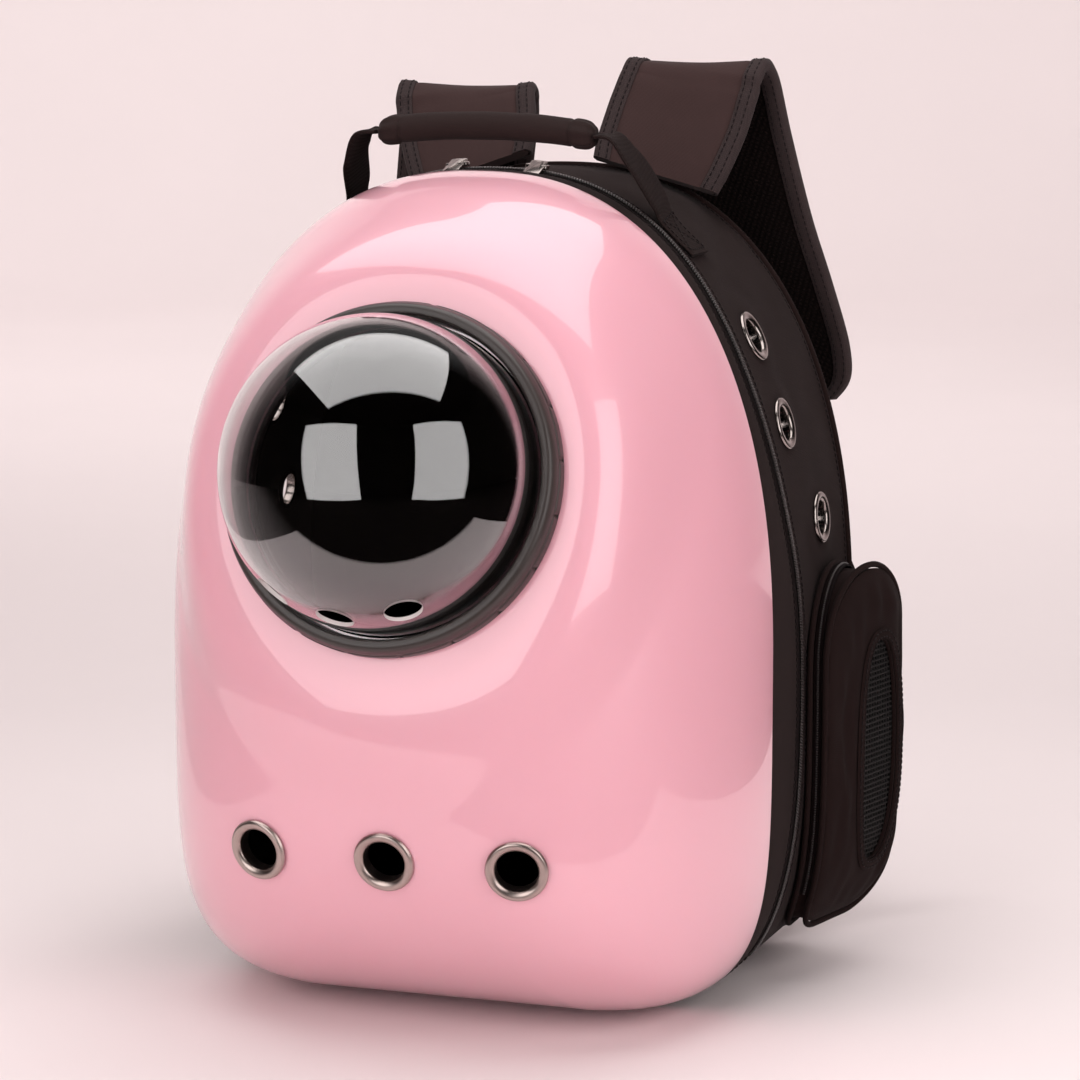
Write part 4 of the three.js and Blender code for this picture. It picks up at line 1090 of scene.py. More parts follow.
def makeGrip():
    shares = -np.cos(np.linspace(0, math.pi, 120))[:, None]
    angles = np.linspace(0, 2 * math.pi, 90, endpoint=False)[None, :]
    out = np.abs(shares)
    size = grip["slim"] * (1 - 0.5 * out ** grip["endPower"])
    size = size + ramp(out, *grip["cuff"]) - bell(out, *grip["groove"])
    size = size + np.sin(angles * grip["gatherCount"] + 2 * np.sin(angles)) * ramp(out, *grip["gathers"])
    size = size + lumps(gripPoint(shares, angles, 1.0), grip["lump"], 2.2) * grip["lumpRise"]
    size = size + sum(bell(angles, *seam) for seam in grip["seams"])
    item = gridMesh("handleGrip", gripPoint(shares, angles, size), closeColumns=True, caps=True)
    finishPiece(item, "grip", ["handle_grip"], smoothBelow=60)


# A flat band with rounded edges along a path, whose section a function can shape
def bandMesh(name, path, across, face, widths, thickness, columns=20, shape=None):
    u = np.linspace(-1, 1, columns)
    upper = np.stack([u, 0.25 + 0.75 * (1 - np.abs(u) ** 10) ** 0.5], axis=1)
    section = np.concatenate([upper, (upper * (1, -1))[::-1]])
    widths = np.broadcast_to(widths, (len(path),))[:, None, None]
    rise = np.broadcast_to(section[None, :, 1:] * thickness / 2, (len(path), len(section), 1))
    if shape is not None:
        rise = shape(rise, section)
    points = path[:, None, :] + across[:, None, :] * section[None, :, :1] * widths / 2
    return gridMesh(name, points + face[:, None, :] * rise, closeColumns=True, caps=True)


def makeHandleWebbing(side):
    label = "right" if side > 0 else "left"
    lift = handle["webbingWall"] / 2 + gap
    top = np.array([handle["gripLength"] / 2 + 2 * gap, handle["lean"], bag["height"] + handle["above"]])
    foot = tubPoint(rimAtAcross(handle["footAcross"]), handle["footDepth"], lift)
    footEnd = rimAtAcross(handle["footAcross"] + handle["footLength"])
    gripSteps = np.array([(0, 0, 0), (0.32, 0.02, -0.02), (0.64, 0.32, -0.48)]) * handle["webbing"]
    footSteps = np.array([(-0.16, -0.16, 0.5), (0, 0, 0.06)]) * handle["webbing"]
    knots = np.concatenate([top + gripSteps, foot + footSteps])
    last = tubPoint(footEnd, handle["footDepth"], lift + handle["webbingWall"] / 2)
    path = curveThrough(np.concatenate([knots, [last]]), np.linspace(0, 1, 90)) * (side, 1, 1)
    _, across, face = framesOn(path, (0, 1.0, 0))
    squeeze = 1 - bell(np.linspace(0, 1, 90), 0, 0.34, 0.16)
    widths = handle["webbing"] * squeeze
    item = bandMesh("handleWebbing_" + label, path, across, face, widths, handle["webbingWall"])
    finishPiece(item, "webbing", ["handle_webbing_" + label], smoothBelow=60)

    # the foot is sewn down by a box of stitches with a cross in it
    if face[-1] @ (side * 0.5, 0, 1) < 0:
        face = -face
    patch = slice(68, 88)
    edge = handle["webbing"] * handle["seamEdge"]
    sewn = path + face * handle["seamRise"]
    rows = [(sewn[patch] + across[patch] * edge * way, face[patch]) for way in (-1, 1)]
    for at in (patch.start + 1, patch.stop - 1):
        rows.append((sewn[at] + across[at] * np.linspace(-edge, edge, 8)[:, None], face[at]))
    diagonal = np.linspace(-edge, edge, 20)[:, None]
    rows += [(sewn[patch] + across[patch] * diagonal * way, face[patch]) for way in (-1, 1)]
    stitches("handleStitches_" + label, rows, step=2.9, length=2.1)


makeGrip()
for side in (-1, 1):
    makeHandleWebbing(side)
print("handle made")

# Shoulder straps
strap = {
    "width": 75.0,
    "thickness": 6.0,
    "columns": 40,
    "slim": 0.93,
    "puff": 0.45,
    "wave": 0.3,
    "seamInsets": (2.2, 6.6),
    "seamRise": 0.98,
    "footEdge": 10.0,
    "webbing": 25.0,
    "webbingWall": 1.8,
    "webbingLean": 0.06,
    "rise": {1: 54.5, -1: 40.0},
    "lowered": {1: 11.5, -1: 10.0},
    "rows": 190,
    "adjuster": 20.0,
}
# across, depth, rise, drop, lean, width
strapPath = np.array([
    (0.33, 0.88, 0, 0, -0.37, 0.9),
    (0.345, 0.91, 0.17, 0, -0.3, 0.95),
    (0.38, 0.98, 0.55, 0, -0.16, 1),
    (0.405, 1.025, 0.84, 0, -0.03, 1),
    (0.415, 1.055, 0.965, 0, -0.01, 1),
    (0.425, 1.11, 1, 0, 0.01, 1),
    (0.435, 1.16, 1, 0.017, 0.03, 1),
    (0.47, 1.205, 1, 0.09, 0.07, 1),
    (0.53, 1.29, 1, 0.205, 0.1, 1),
    (0.585, 1.37, 1, 0.29, 0.1, 1),
    (0.63, 1.43, 1, 0.365, 0.1, 1),
    (0.645, 1.44, 1, 0.405, 0.1, 0.95),
    (0.65, 1.435, 1, 0.43, 0.1, 0.72),
])
# across, behind, height
webbingPath = np.array([
    (0.76, 0.45, 0.5),
    (0.86, 0.62, 0.37),
    (0.925, 0.76, 0.25),
    (0.9, 0.68, 0.15),
    (0.8, 0.36, 0.085),
    (0.73, 0.13, 0.063),
    (0.705, 0.03, 0.073),
    (0.7, 0.005, 0.098),
    (0.7, 0.005, 0.13),
    (0.7, 0.005, 0.16),
])


# A strap's line, the three ways along it and its width
def strapLine(side, shares):
    root = rimAtAcross(strapPath[0, 0] * bag["halfWidth"])
    floor = tubPoint(root, strapPath[0, 1] * bag["tubDepth"], gap)[2] + strap["thickness"] / 2
    knots = np.stack([
        strapPath[:, 0] * bag["halfWidth"] * side,
        strapPath[:, 1] * bag["tubDepth"],
        floor + strapPath[:, 2] * strap["rise"][side] - strapPath[:, 3] * bag["height"],
    ], axis=1)
    path = curveThrough(knots, shares)
    shapes = curveThrough([(at, row[5], row[4]) for at, row in enumerate(strapPath)], shares)
    guide = np.stack([np.ones(len(shares)), np.zeros(len(shares)), shapes[:, 2] * side], axis=1)
    along, across, face = framesOn(path, guide)
    return path, along, across, face, strap["width"] * np.minimum(1, shapes[:, 1])


# section of a binding: reach past the strap's edge, and height as a share of the strap's half thickness
# and as millimetres more
bindingSection = [
    (-8.5, 1, 0.25), (-7.9, 1, 0.95), (-2.0, 1, 1.0), (-0.2, 1, 0.8), (0.9, 0.5, 0), (1.15, 0, 0),
    (0.9, -0.5, 0), (-0.2, -1, -0.8), (-2.0, -1, -1.0), (-7.9, -1, -0.95), (-8.5, -1, -0.25),
    (-1.0, -1, -0.2), (0.15, 0, 0), (-1.0, 1, 0.2),
]
half = strap["thickness"] / 2


# The strap's pad: cloth outside, mesh towards the wearer, with its bindings and their stitches
def makeStrap(side, label, line):
    path, _, across, face, widths = line
    lie = across[:, None, :] * np.linspace(-1, 1, 2 * strap["columns"])[None, :, None] * 30
    waves = lumps(path[:, None, :] + lie, 30.0, side + 5.0)

    def padding(rise, section):
        flat = (1 - smoothStep((np.abs(section[:, 0]) - 0.7) / 0.12))[None, :, None]
        swell = strap["puff"] * np.sign(rise) + strap["wave"] * waves[:, :, None]
        return rise * strap["slim"] + swell * flat

    item = bandMesh("shoulderStrap_" + label, path, across, face, widths - 1, strap["thickness"],
                    strap["columns"], padding)
    finishPiece(item, "strap", ["strap_" + label], smoothBelow=60)
    item.data.materials.append(materials["spacer"])
    below = np.zeros(len(item.data.polygons), dtype=int)
    skin = (strap["rows"] - 1) * 2 * strap["columns"]
    upper = np.arange(skin) % (2 * strap["columns"]) < strap["columns"]
    below[:skin] = upper if face[60][1] > 0 else ~upper
    item.data.polygons.foreach_set("material_index", below)

    rows = []
    for edge in (-1, 1):
        points = np.stack([
            path + across * ((widths / 2 + out) * edge)[:, None] + face * (half * share + more)
            for out, share, more in bindingSection
        ], axis=1)
        place = "outer" if edge == side else "inner"
        item = gridMesh(f"strapBinding_{label}_{place}", points, closeColumns=True, caps=True)
        finishPiece(item, "binding", [f"strap_{label}_binding_{place}"], smoothBelow=60)
        for inset in strap["seamInsets"]:
            sewn = path + across * ((widths / 2 - inset) * edge)[:, None]
            rows += [(sewn + face * (half + strap["seamRise"]) * way, face * way) for way in (-1, 1)]
    stitches("strapStitches_" + label, rows, step=3.4, length=2.4)


# The webbing below a strap's adjuster, with its foot sewn to the back by a box of stitches with a cross
def makeStrapWebbing(side, label, line):
    path, along = line[:2]
    start = path[-1] + along[-1] * (strap["adjuster"] + 4 * gap)
    lift = 3 + strap["webbingWall"] / 2 + gap
    knots = [start, start + along[-1] * 12] + [
        (across * bag["halfWidth"] * side, bag["tubDepth"] * (1 + behind) + lift, height * bag["height"])
        for across, behind, height in webbingPath
    ]
    tape = curveThrough(knots, np.linspace(0, 1, 150))
    _, across, face = framesOn(tape, (1, 0, strap["webbingLean"] * side))
    item = bandMesh("strapWebbing_" + label, tape, across, face, strap["webbing"], strap["webbingWall"])
    finishPiece(item, "webbing", ["strap_webbing_" + label], smoothBelow=60)

    low, high = tape[-26][2], tape[-2][2]
    middle, depth = tape[-2][0], tape[-2][1] + 0.95
    edge = strap["footEdge"]
    ends = [((-edge, z), (edge, z), 10) for z in (low, high)]
    ends += [((x, low), (x, high), 12) for x in (-edge, edge)]
    ends += [((-edge * sign, low), (edge * sign, high), 12) for sign in (-1, 1)]
    rows = []
    for (x0, z0), (x1, z1), count in ends:
        x, z = middle + np.linspace(x0, x1, count), np.linspace(z0, z1, count)
        rows.append((np.stack([x, np.full(count, depth), z], axis=1), np.array([0, 1.0, 0])))
    stitches("footStitches_" + label, rows, step=3.0, length=2.2)


def makeSide(side):
    label = "right" if side > 0 else "left"

    # the strap hangs lower than the frame's, and takes its adjuster along
    def lower(points):
        for point in points:
            point.z -= strap["lowered"][side] / 1000

    bevelled("strap_adjuster_" + label, 0.9, "acetal", move=lower)
    line = strapLine(side, np.linspace(0, 1, strap["rows"]))
    makeStrap(side, label, line)
    makeStrapWebbing(side, label, line)


for side in (-1, 1):
    makeSide(side)
print("straps made")


# Padded back: pads between sewn channels
back = {
    "thickness": 9.0,
    "crown": 3.0,
    "rounding": 22.0,
    "pad": 3.2,
    "edge": 16.0,
    "middle": 15.0,
    "grooveWidth": 7.0,
    "channels": (104.0, 206.0, 300.0),
}


def padHeight(x, z, edge):
    lines = [np.abs(edge - back["edge"])] + [np.abs(z - level) for level in back["channels"]]
    lines.append(np.abs(np.abs(x) - back["middle"]))
    near = np.min(np.stack(lines), axis=0)
    return back["pad"] * (1 - np.exp(-near / back["grooveWidth"])) - back["pad"] * 0.6


def makeBack():
    margin = max(cloths["wall"], cloths["piping"]) + gap
    front, rear = bag["tubDepth"] - back["thickness"], bag["tubDepth"] - 1
    edge = tubPoint(rim, bag["tubDepth"], -margin)
    middle = np.array([0, 0, bag["widestAt"]])
    shrinks = np.linspace(0.995, 0, 12)
    rows = [(edge + (middle - edge) * share) * (1, 0, 1) + (0, front, 0) for share in shrinks]
    rows += [edge * (1, 0, 1) + (0, front + (rear - front) * share, 0) for share in (0.25, 0.6, 0.9)]
    for share in np.linspace(0, 0.995, 110) ** 1.15:
        flat = edge + (middle - edge) * share
        inset = np.linalg.norm((edge - flat)[:, (0, 2)], axis=1)
        swell = np.sqrt(np.clip(1 - (1 - np.clip(inset / back["rounding"], 0, 1)) ** 2, 0, 1))
        relief = padHeight(flat[:, 0], flat[:, 2], inset) + lumps(flat, 30.0, 4.4) * 0.3
        high = rear + (back["crown"] + 1) * swell + relief * smoothStep(inset / 10)
        rows.append(np.stack([flat[:, 0], high, flat[:, 2]], axis=1))
    item = gridMesh("backPadding", np.array(rows), closeColumns=True, caps=True)
    finishPiece(item, "airMesh", ["back_panel"], smoothBelow=60)
    # painted shade: the pad's faces towards the cabin get the near-black inside material
    item.data.materials.append(materials["insideShade"])
    inside = [int(face.normal.y < -0.5) for face in item.data.polygons]
    item.data.polygons.foreach_set("material_index", inside)
    line = (edge + (middle - edge) * 0.095) * (1, 0, 1) + (0, bag["tubDepth"] + 2.2, 0)
    stitches("backStitches", [(line, np.tile([0, 1.0, 0], (len(line), 1)))], closed=True)


makeBack()
print("back made")

# Zipped side pocket
pocket = {
    "front": 62.0,
    "back": 137.0,
    "bottom": 31.0,
    "top": 212.0,
    "thin": 13.0,
    "thick": 31.0,
    "lift": 0.7,
    "crown": 3.0,
    "wall": 1.6,
    "piping": 1.6,
    "shoulder": 1.5,
    "draw": 1.2,
    "crease": 2.6,
    "zipFoot": 16.0,
}
window = {
    "depth": 107.0,
    "at": 117.0,
    "width": 34.0,
    "height": 116.0,
    "power": 2.5,
    "hidden": 3.0,
    "meshPitch": 2.7,
}
# depth, height, radius, turn
pocketCorners = [(1, 0, 0.38, -90), (1, 1, 0.4, 0), (0, 1, 0.58, 90), (0, 0, 0.2, 180)]


# How far out the tub's side stands
def sideReach(height, depth):
    sag = 1 - bag["topSag"] / bag["height"] * np.asarray(depth) / bag["tubDepth"]
    return rimAtHeight(np.asarray(height) / sag)[..., 0]


def pocketOutline(grow=0.0, count=150):
    deep, tall = pocket["back"] - pocket["front"], pocket["top"] - pocket["bottom"]
    made = []
    # each corner's middle lies inside its radius, and growing the outline grows only the radius
    for depth, height, share, turn in pocketCorners:
        radius = share * deep
        middle = (
            pocket["front"] + depth * deep + (-radius if depth else radius),
            pocket["bottom"] + height * tall + (-radius if height else radius),
        )
        for angle in np.radians(np.linspace(turn, turn + 90, 24)):
            made.append((
                middle[0] + (radius + grow) * math.cos(angle),
                middle[1] + (radius + grow) * math.sin(angle),
            ))
    made = np.array(made)
    loop = np.concatenate([made, made[:1]])
    far = np.concatenate([[0], np.cumsum(np.linalg.norm(np.diff(loop, axis=0), axis=1))])
    wanted = np.arange(count) / count * far[-1]
    return np.stack([np.interp(wanted, far, loop[:, 0]), np.interp(wanted, far, loop[:, 1])], axis=1)


def pocketThickness(depth):
    share = np.clip((depth - pocket["front"]) / (pocket["back"] - pocket["front"]), 0, 1)
    return pocket["thin"] + (pocket["thick"] - pocket["thin"]) * share


# Points off the tub's side, at spots of depth and height
def pocketPoint(spots, off):
    return np.stack([sideReach(spots[..., 1], spots[..., 0]) + off, spots[..., 0], spots[..., 1]], axis=-1)


# Points off the crowned face of the pocket
def facePoint(spots, off):
    return pocketPoint(spots, pocketThickness(spots[:, 0]) + pocket["crown"] + off)


# Steps in depth and height as steps in space
def flatWay(steps):
    return np.stack([np.zeros(len(steps)), steps[:, 0], steps[:, 1]], axis=1)


# The mesh window's oval
def ovalAt(angle, grow):
    across = np.abs(np.cos(angle) / (window["width"] / 2 + grow)) ** window["power"]
    along = np.abs(np.sin(angle) / (window["height"] / 2 + grow)) ** window["power"]
    radius = (across + along) ** (-1 / window["power"])
    depth, height = window["depth"] + radius * np.cos(angle), window["at"] + radius * np.sin(angle)
    return np.stack([depth, height], axis=-1)


def ovalRing(grow, count):
    even = np.linspace(0, 2 * math.pi, count, endpoint=False)
    return ovalAt(np.arctan2(window["height"] * np.sin(even), window["width"] * np.cos(even)), grow)


# The pocket's cloth: rows of points up its side wall and over its face to the window
def pocketSkin(outline, inset):
    middle = np.array([window["depth"], window["at"]])
    toward = outline - middle
    oval = ovalAt(np.arctan2(toward[:, 1], toward[:, 0]), 0)
    side = pocketThickness(outline[:, 0]) - pocket["shoulder"]
    inner = pocketOutline(-inset)
    rows = [pocketPoint(inner, pocket["lift"])]
    for share in np.linspace(0, 1, 12)[1:]:
        arch = math.sin(math.pi * share)
        drawn = lumps(pocketPoint(inner, share * 20), 17.0, 6.0) * 0.9 * arch - pocket["draw"] * arch
        grown = inner + unit(inner - middle) * drawn[:, None]
        off = pocket["lift"] + (side - pocket["lift"]) * share - inset * (share == 1)
        rows.append(pocketPoint(grown, off))
    for share in np.linspace(0, 1, 26)[1:]:
        spots = inner + (oval - inner) * share
        puff = pocket["crown"] * (1 - (1 - share) ** 2)
        near = (1 - np.exp(-share * 16)) * pocket["shoulder"]
        tall = pocketPoint(spots, 0) * (1, 1, 0.3)
        crease = lumps(tall, 9.0, 9.0) * pocket["crease"] + lumps(tall, 24.0, 5.0)
        crease = crease * math.sin(math.pi * min(1, share * 1.1)) ** 2
        face = pocketThickness(spots[:, 0]) - pocket["shoulder"]
        rows.append(pocketPoint(spots, face + near + puff + crease - inset))
    return rows


# Piped edges at the pocket's face and at its base
def makePocketPiping(outline, grown):
    radius = pocket["piping"]
    levels = {"face": pocketThickness(outline[:, 0]) - radius - 1, "base": radius + pocket["lift"]}
    for label, level in levels.items():
        rings = []
        for angle in np.linspace(0, 2 * math.pi, 12, endpoint=False):
            off = radius * (1 + math.cos(angle)) + gap
            rings.append(pocketPoint(outline, level + radius * math.sin(angle)) + flatWay(off * grown))
        item = gridMesh("pocketPiping_" + label, np.array(rings), closeRows=True, closeColumns=True)
        finishPiece(item, "pocketCloth", ["side_pocket_piping_" + label])


# section of the pocket's zip: off the wall, and height above the lower piping
pocketZipSection = [
    (0.3, 0.0), (1.2, 0.2), (1.3, 1.9), (1.0, 2.1), (1.0, 2.3), (1.3, 2.5), (1.2, 4.2), (0.3, 4.4),
]


def makePocketZip(outline, grown):
    run = (outline[:, 0] < pocket["back"] - 1) & (outline[:, 1] > pocket["bottom"] + pocket["zipFoot"])
    spots, out = outline[run], grown[run]
    low = 2 * pocket["piping"] + pocket["lift"] + gap
    rows = [pocketPoint(spots, low + high) + flatWay(off * out) for off, high in pocketZipSection]
    item = gridMesh("pocketZipTape", np.array(rows), closeRows=True)
    finishPiece(item, "zipTape", ["side_pocket_zipper"], smoothBelow=60)
    teeth = [(rows[3] + flatWay(0.25 * out), flatWay(out))]
    item = stitches("pocketZipTeeth", teeth, step=1.25, length=0.8, radius=0.75)
    item.data.materials[0] = materials["zipCoil"]


# section of the window's trim: how far out of the oval, and how far off the face
trimSection = [(0.5, 0.5), (0.6, 1.4), (3.2, 1.8), (5.7, 1.3), (6.0, 0.5)]


def makePocketTrim():
    rings = [facePoint(ovalRing(grow, 160), rise) for grow, rise in trimSection]
    item = gridMesh("pocketWindowTrim", np.array(rings), closeRows=True, closeColumns=True)
    finishPiece(item, "pocketCloth", ["side_pocket_window_trim"], smoothBelow=60)
    rows = [(facePoint(ovalRing(grow, 160), 1.65), np.tile([1.0, 0, 0], (160, 1))) for grow in (1.6, 4.8)]
    stitches("pocketStitches", rows, step=3.0, length=2.2, closed=True)


def makePocket():
    outline = pocketOutline()
    grown = pocketOutline(1.0) - outline
    rows = pocketSkin(outline, 0.0)[::-1] + pocketSkin(outline, pocket["wall"])
    item = gridMesh("sidePocket", np.array(rows), closeRows=True, closeColumns=True)
    finishPiece(item, "pocketCloth", ["side_pocket"], smoothBelow=60)
    makePocketPiping(outline, grown)
    makePocketZip(outline, grown)
    makePocketTrim()


# Thin strands across a surface, all with the same number of points, as one mesh of square tubes
def strandMesh(name, lines, radius, out):
    points, faces = [], []
    for line in lines:
        line = np.asarray(line)
        along, across, other = framesOn(line, out)
        ring = [(across * x + other * y) * radius for x, y in ((1, 1), (-1, 1), (-1, -1), (1, -1))]
        start = len(points) * 4
        for at in range(len(line)):
            points.append([line[at] + part[at] for part in ring])
        for at in range(len(line) - 1):
            a = start + at * 4
            for side in range(4):
                beside = (side + 1) % 4
                faces.append([a + side, a + beside, a + 4 + beside, a + 4 + side])
        faces += [[start + side for side in (3, 2, 1, 0)], [a + 4 + side for side in range(4)]]
    return newObject(name, np.array(points).reshape(-1, 3), faces)


# Strands along and across the oval, which reach a little under its trim
def makePocketMesh():
    tall = window["height"] / 2 + window["hidden"]
    wide = window["width"] / 2 + window["hidden"]
    lines = []
    for upright, reach, other, count, drop in ((False, tall, wide, 12, 2.6), (True, wide, tall, 40, 2.9)):
        for at in np.arange(-reach, reach, window["meshPitch"]):
            half = other * max(0.0, 1 - abs(at / reach) ** window["power"]) ** (1 / window["power"])
            if half > 1:
                run, fixed = np.linspace(-half, half, count), np.full(count, at)
                spots = np.stack([fixed, run] if upright else [run, fixed], axis=1)
                lines.append(facePoint(spots + (window["depth"], window["at"]), -drop))
    item = strandMesh("pocketNet", lines, 0.42, (1.0, 0, 0))
    finishPiece(item, "net", ["side_pocket_mesh"])


makePocket()
makePocketMesh()
print("side pocket made")

# Gathered net pocket on the other side
net = {
    "front": 62.0,
    "back": 140.0,
    "bottom": 28.0,
    "top": 202.0,
    "bulge": 50.0,
    "hem": 11.0,
    "lift": 0.9,
    "girth": 150.0,
    "slack": 30.0,
    "strandStep": 6.9,
    "ruffle": 0.2,
}


# A point on the net, at shares of its way round and up
def netPoint(share, level, out):
    share, level = np.broadcast_arrays(np.asarray(share, dtype=float), np.asarray(level, dtype=float))
    along = np.clip(1 - np.abs(2 * share - 1) ** 3, 0, 1) ** 0.45
    up = np.clip(1 - (1 - level) ** 3, 0, 1) ** 0.6 - 0.1 * level
    gather = 1 + 0.02 * np.sin(share * 34) * level
    depth = net["front"] + (net["back"] - net["front"]) * share
    height = net["bottom"] + (net["top"] - net["bottom"]) * level
    reach = sideReach(height, depth) + net["lift"] + net["bulge"] * along * up * gather + out
    return np.stack([-reach, depth, height], axis=-1)


def makeNet():
    hemStart = 1 - net["hem"] / (net["top"] - net["bottom"])
    girth = net["girth"]
    tall = (net["top"] - net["bottom"]) * hemStart + net["slack"]
    t = np.linspace(0, tall, 70)
    lines = []
    for sign in (-1, 1):
        for start in np.arange(-tall, girth + 0.1, net["strandStep"]):
            u = start + t if sign > 0 else girth - start - t
            keep = (u >= 0) & (u <= girth)
            if keep.sum() >= 4:
                share = 0.5 - 0.5 * np.cos(u[keep] / girth * math.pi)
                lines.append(netPoint(share, t[keep] / tall * hemStart, 0.7))
    item = strandMesh("netPocket", lines, 0.45, (-1.0, 0.1, 0.1))
    finishPiece(item, "net", ["net_pocket"])

    shares = 0.5 - 0.5 * np.cos(np.linspace(0, math.pi, 120))
    ruffle = net["ruffle"] * np.sin(np.linspace(0, 60, 120))
    section = [(hemStart, 0.2), (hemStart, 1.9), (hemStart + 0.02, 2.3), (0.985, 2.3), (1.0, 1.9), (1.0, 0.2)]
    rows = [netPoint(shares, level, out + ruffle * (out > 0.5)) for level, out in section]
    item = gridMesh("netHem", np.array(rows), closeRows=True)
    finishPiece(item, "binding", ["net_pocket_hem"], smoothBelow=60)


makeNet()
print("net pocket made")

# Stage: a pale paper floor that curves up into a round wall
stage = {"floor": 3.3, "turn": 1.2, "high": 4.0, "columns": 96, "colour": "#ece2e2"}


def makeStage():
    profile = [(0.01, 0.0)] + [(radius, 0.0) for radius in np.linspace(0.4, stage["floor"], 8)]
    for angle in np.linspace(0, math.pi / 2, 20)[1:]:
        profile.append((
            stage["floor"] + stage["turn"] * math.sin(angle),
            stage["turn"] - stage["turn"] * math.cos(angle),
        ))
    profile.append((stage["floor"] + stage["turn"], stage["high"]))
    columns = stage["columns"]
    turns = np.linspace(0, 2 * math.pi, columns, endpoint=False)
    points = [(r * math.cos(turn), r * math.sin(turn), z) for r, z in profile for turn in turns]
    faces = [
        [row * columns + at, row * columns + (at + 1) % columns,
         (row + 1) * columns + (at + 1) % columns, (row + 1) * columns + at]
        for row in range(len(profile) - 1) for at in range(columns)
    ]
    faces.append(list(range(columns)))
    mesh = bpy.data.meshes.new("studioSweep")
    mesh.from_pydata(points, [], faces)
    mesh.polygons.foreach_set("use_smooth", [True] * len(faces))
    item = bpy.data.objects.new("studioSweep", mesh)
    bpy.context.collection.objects.link(item)
    paper, tree, shader = newMaterial("studioPaper", Roughness=0.8)
    shader.inputs["Specular IOR Level"].default_value = 0.2
    grain = noiseAt(tree, 3.0, 5.0)
    colour = mixed(tree, grain, shade(stage["colour"], 0.98), shade(stage["colour"], 1.02))
    tree.links.new(colour, shader.inputs["Base Color"])
    item.data.materials.append(paper)


makeStage()

# Black cards round the camera, as a photographer sets them: only reflections see them, and they keep the
# dome and the black parts dark. On the floor they start where the white table ends.
flags = {
    "turn": 24.0,
    "front": 0.408,
    "left": -0.541,
    "right": 0.565,
    "back": -0.9,
    "reach": 2.6,
    "high": 2.4,
    "spread": (-2.25, 2.5),
    "fade": 0.6,
    "columns": 60,
    "floorLift": 0.004,
}


def makeFlags():
    turn = math.radians(flags["turn"])
    across = np.array([math.cos(turn), math.sin(turn), 0])
    ahead = np.array([math.sin(turn), -math.cos(turn), 0])
    reach, front, back = flags["reach"], flags["front"], flags["back"]
    left, right, count = flags["left"], flags["right"], flags["columns"]
    # the floor's cards: one in front of the table and one on each side
    points, faces = [], []
    for west, east, near, far in (
        (-reach, reach, front, reach), (-reach, left, back, front), (right, reach, back, front),
    ):
        faces.append([len(points) + at for at in range(4)])
        corners = ((west, near), (east, near), (east, far), (west, far))
        points += [across * u + ahead * v + (0, 0, flags["floorLift"]) for u, v in corners]
    # the left card's rear edge thins out to nothing
    weights = [0.0 if at in (4, 5) else 1.0 for at in range(len(points))]
    # the round wall and its ceiling, which thin out at both ends
    spread = np.linspace(*flags["spread"], count)
    fading = smoothStep(np.minimum(spread - spread[0], spread[-1] - spread) / flags["fade"])
    start = len(points)
    for height, out in ((0.0, reach), (flags["high"], reach), (flags["high"], 0.0)):
        points += [(across * math.sin(a) + ahead * math.cos(a)) * out + (0, 0, height) for a in spread]
        weights += fading.tolist()
    for low in (start, start + count):
        faces += [[low + at, low + at + 1, low + count + 1 + at, low + count + at] for at in range(count - 1)]
    mesh = bpy.data.meshes.new("blackFlags")
    mesh.from_pydata(points, [], faces)
    mesh.attributes.new("cardWeight", "FLOAT", "POINT").data.foreach_set("value", weights)
    item = bpy.data.objects.new("blackFlags", mesh)
    bpy.context.collection.objects.link(item)
    felt, tree, shader = newMaterial("blackFelt", Roughness=1.0, **{"Base Color": linear("#1c1817")})
    shader.inputs["Specular IOR Level"].default_value = 0.0
    weight = addNode(tree, "Attribute", attribute_name="cardWeight").outputs["Fac"]
    tree.links.new(weight, shader.inputs["Alpha"])
    item.data.materials.append(felt)
    for unseen in ("visible_camera", "visible_diffuse", "visible_shadow"):
        setattr(item, unseen, False)


makeFlags()

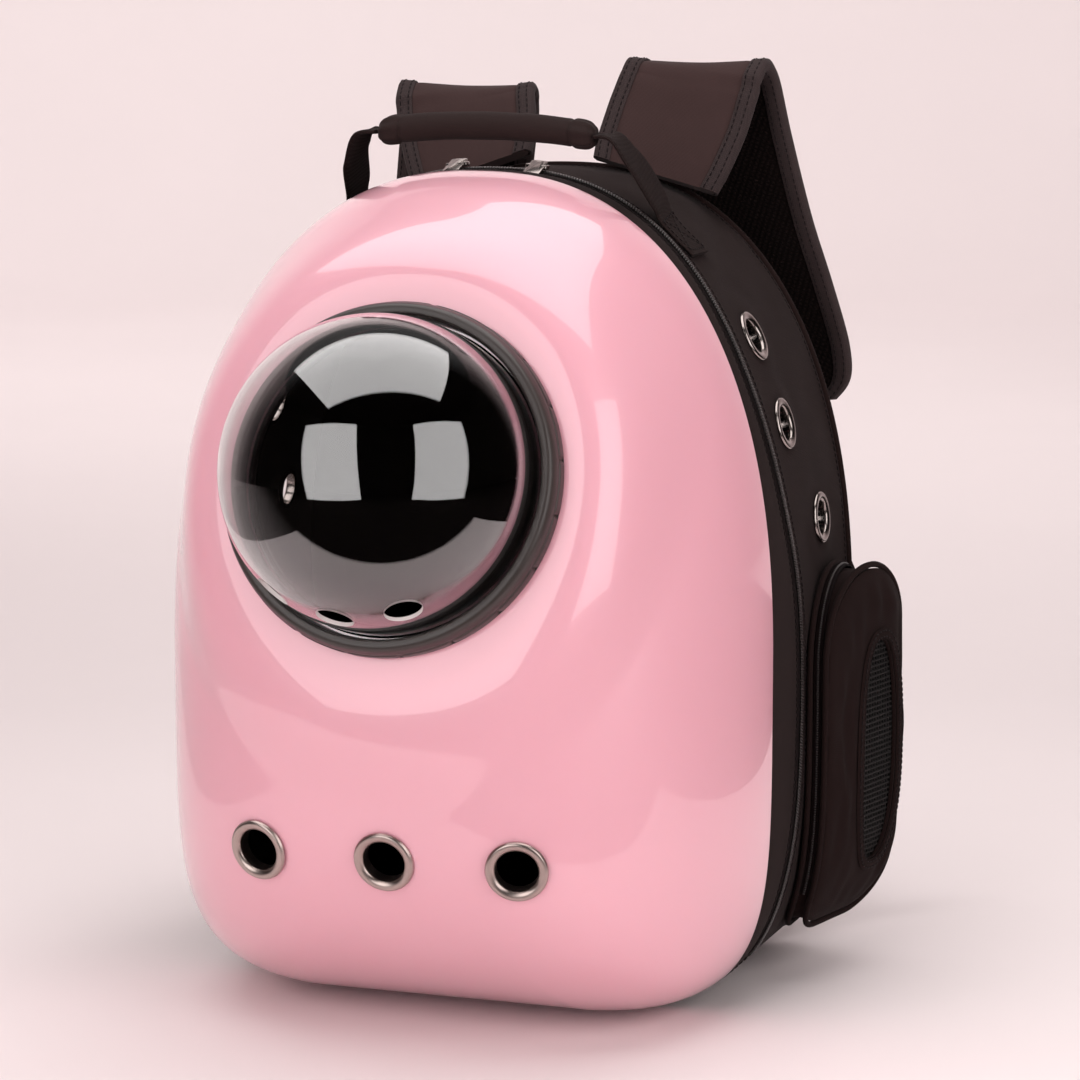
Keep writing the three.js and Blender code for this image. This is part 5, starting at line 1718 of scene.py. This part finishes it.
# Lights: each soft box shows in the dome and on the shell, so each hangs in its own direction from the
# window, given in degrees to the right of the front and above the level, and as wide as it shows there
# name, turn, lift, metres away, width and height, power; an unseen one lights without showing
softBoxes = [
    ("leftBox", -13.5, 10.5, 1.3, (1.0, 1.52), 12.0, {"spin": 11.0}),
    ("rightBox", 71.0, 8.5, 1.3, (0.97, 1.48), 10.5, {"spin": -12.0}),
    ("topBox", 201.8, 80.0, 1.27, (1.98, 1.45), 21.5, {"roll": 30.6}),
    ("fillBox", -48.0, 30.0, 2.2, (2.4, 2.0), 3.8, {"unseen": True}),
    ("frontBox", 62.0, 22.0, 2.0, (1.6, 1.6), 4.2, {"unseen": True}),
    ("wallBox", 205.0, 42.0, 3.0, (4.0, 1.6), 72.0, {"unseen": True, "aim": (-0.42, 0.9, -0.55)}),
    ("rearBox", 165.0, 28.0, 2.4, (1.2, 1.2), 9.0, {"unseen": True}),
]
boxesLookAt = (0.0, -0.27, 0.32)
lightColour = (1.0, 0.97, 0.965)
world = {"colour": (1.0, 0.95, 0.95, 1.0), "strength": 0.12}


def makeLights():
    look = Vector(boxesLookAt)
    for name, turn, lift, far, size, power, more in softBoxes:
        data = bpy.data.lights.new(name, "AREA")
        data.shape = "RECTANGLE"
        data.size, data.size_y = size
        data.energy = power
        data.color = lightColour
        item = bpy.data.objects.new(name, data)
        turn, lift = math.radians(turn), math.radians(lift)
        way = Vector((math.sin(turn) * math.cos(lift), -math.cos(turn) * math.cos(lift), math.sin(lift)))
        item.location = look + way * far
        if "roll" in more:
            item.rotation_euler = (0, 0, math.radians(more["roll"]))
        else:
            aim = Vector(more.get("aim", -way)).to_track_quat("-Z", "Y").to_matrix()
            spin = Matrix.Rotation(math.radians(more.get("spin", 0)), 3, "Z")
            item.rotation_euler = (aim @ spin).to_euler()
        item.visible_camera = False
        item.visible_glossy = item.visible_transmission = not more.get("unseen", False)
        bpy.context.collection.objects.link(item)
    sky = bpy.data.worlds.new("studio")
    sky.use_nodes = True
    background = sky.node_tree.nodes["Background"]
    background.inputs["Color"].default_value = world["colour"]
    background.inputs["Strength"].default_value = world["strength"]
    bpy.context.scene.world = sky
    bpy.context.scene.view_settings.view_transform = "Standard"


makeLights()
print("stage and lights made")
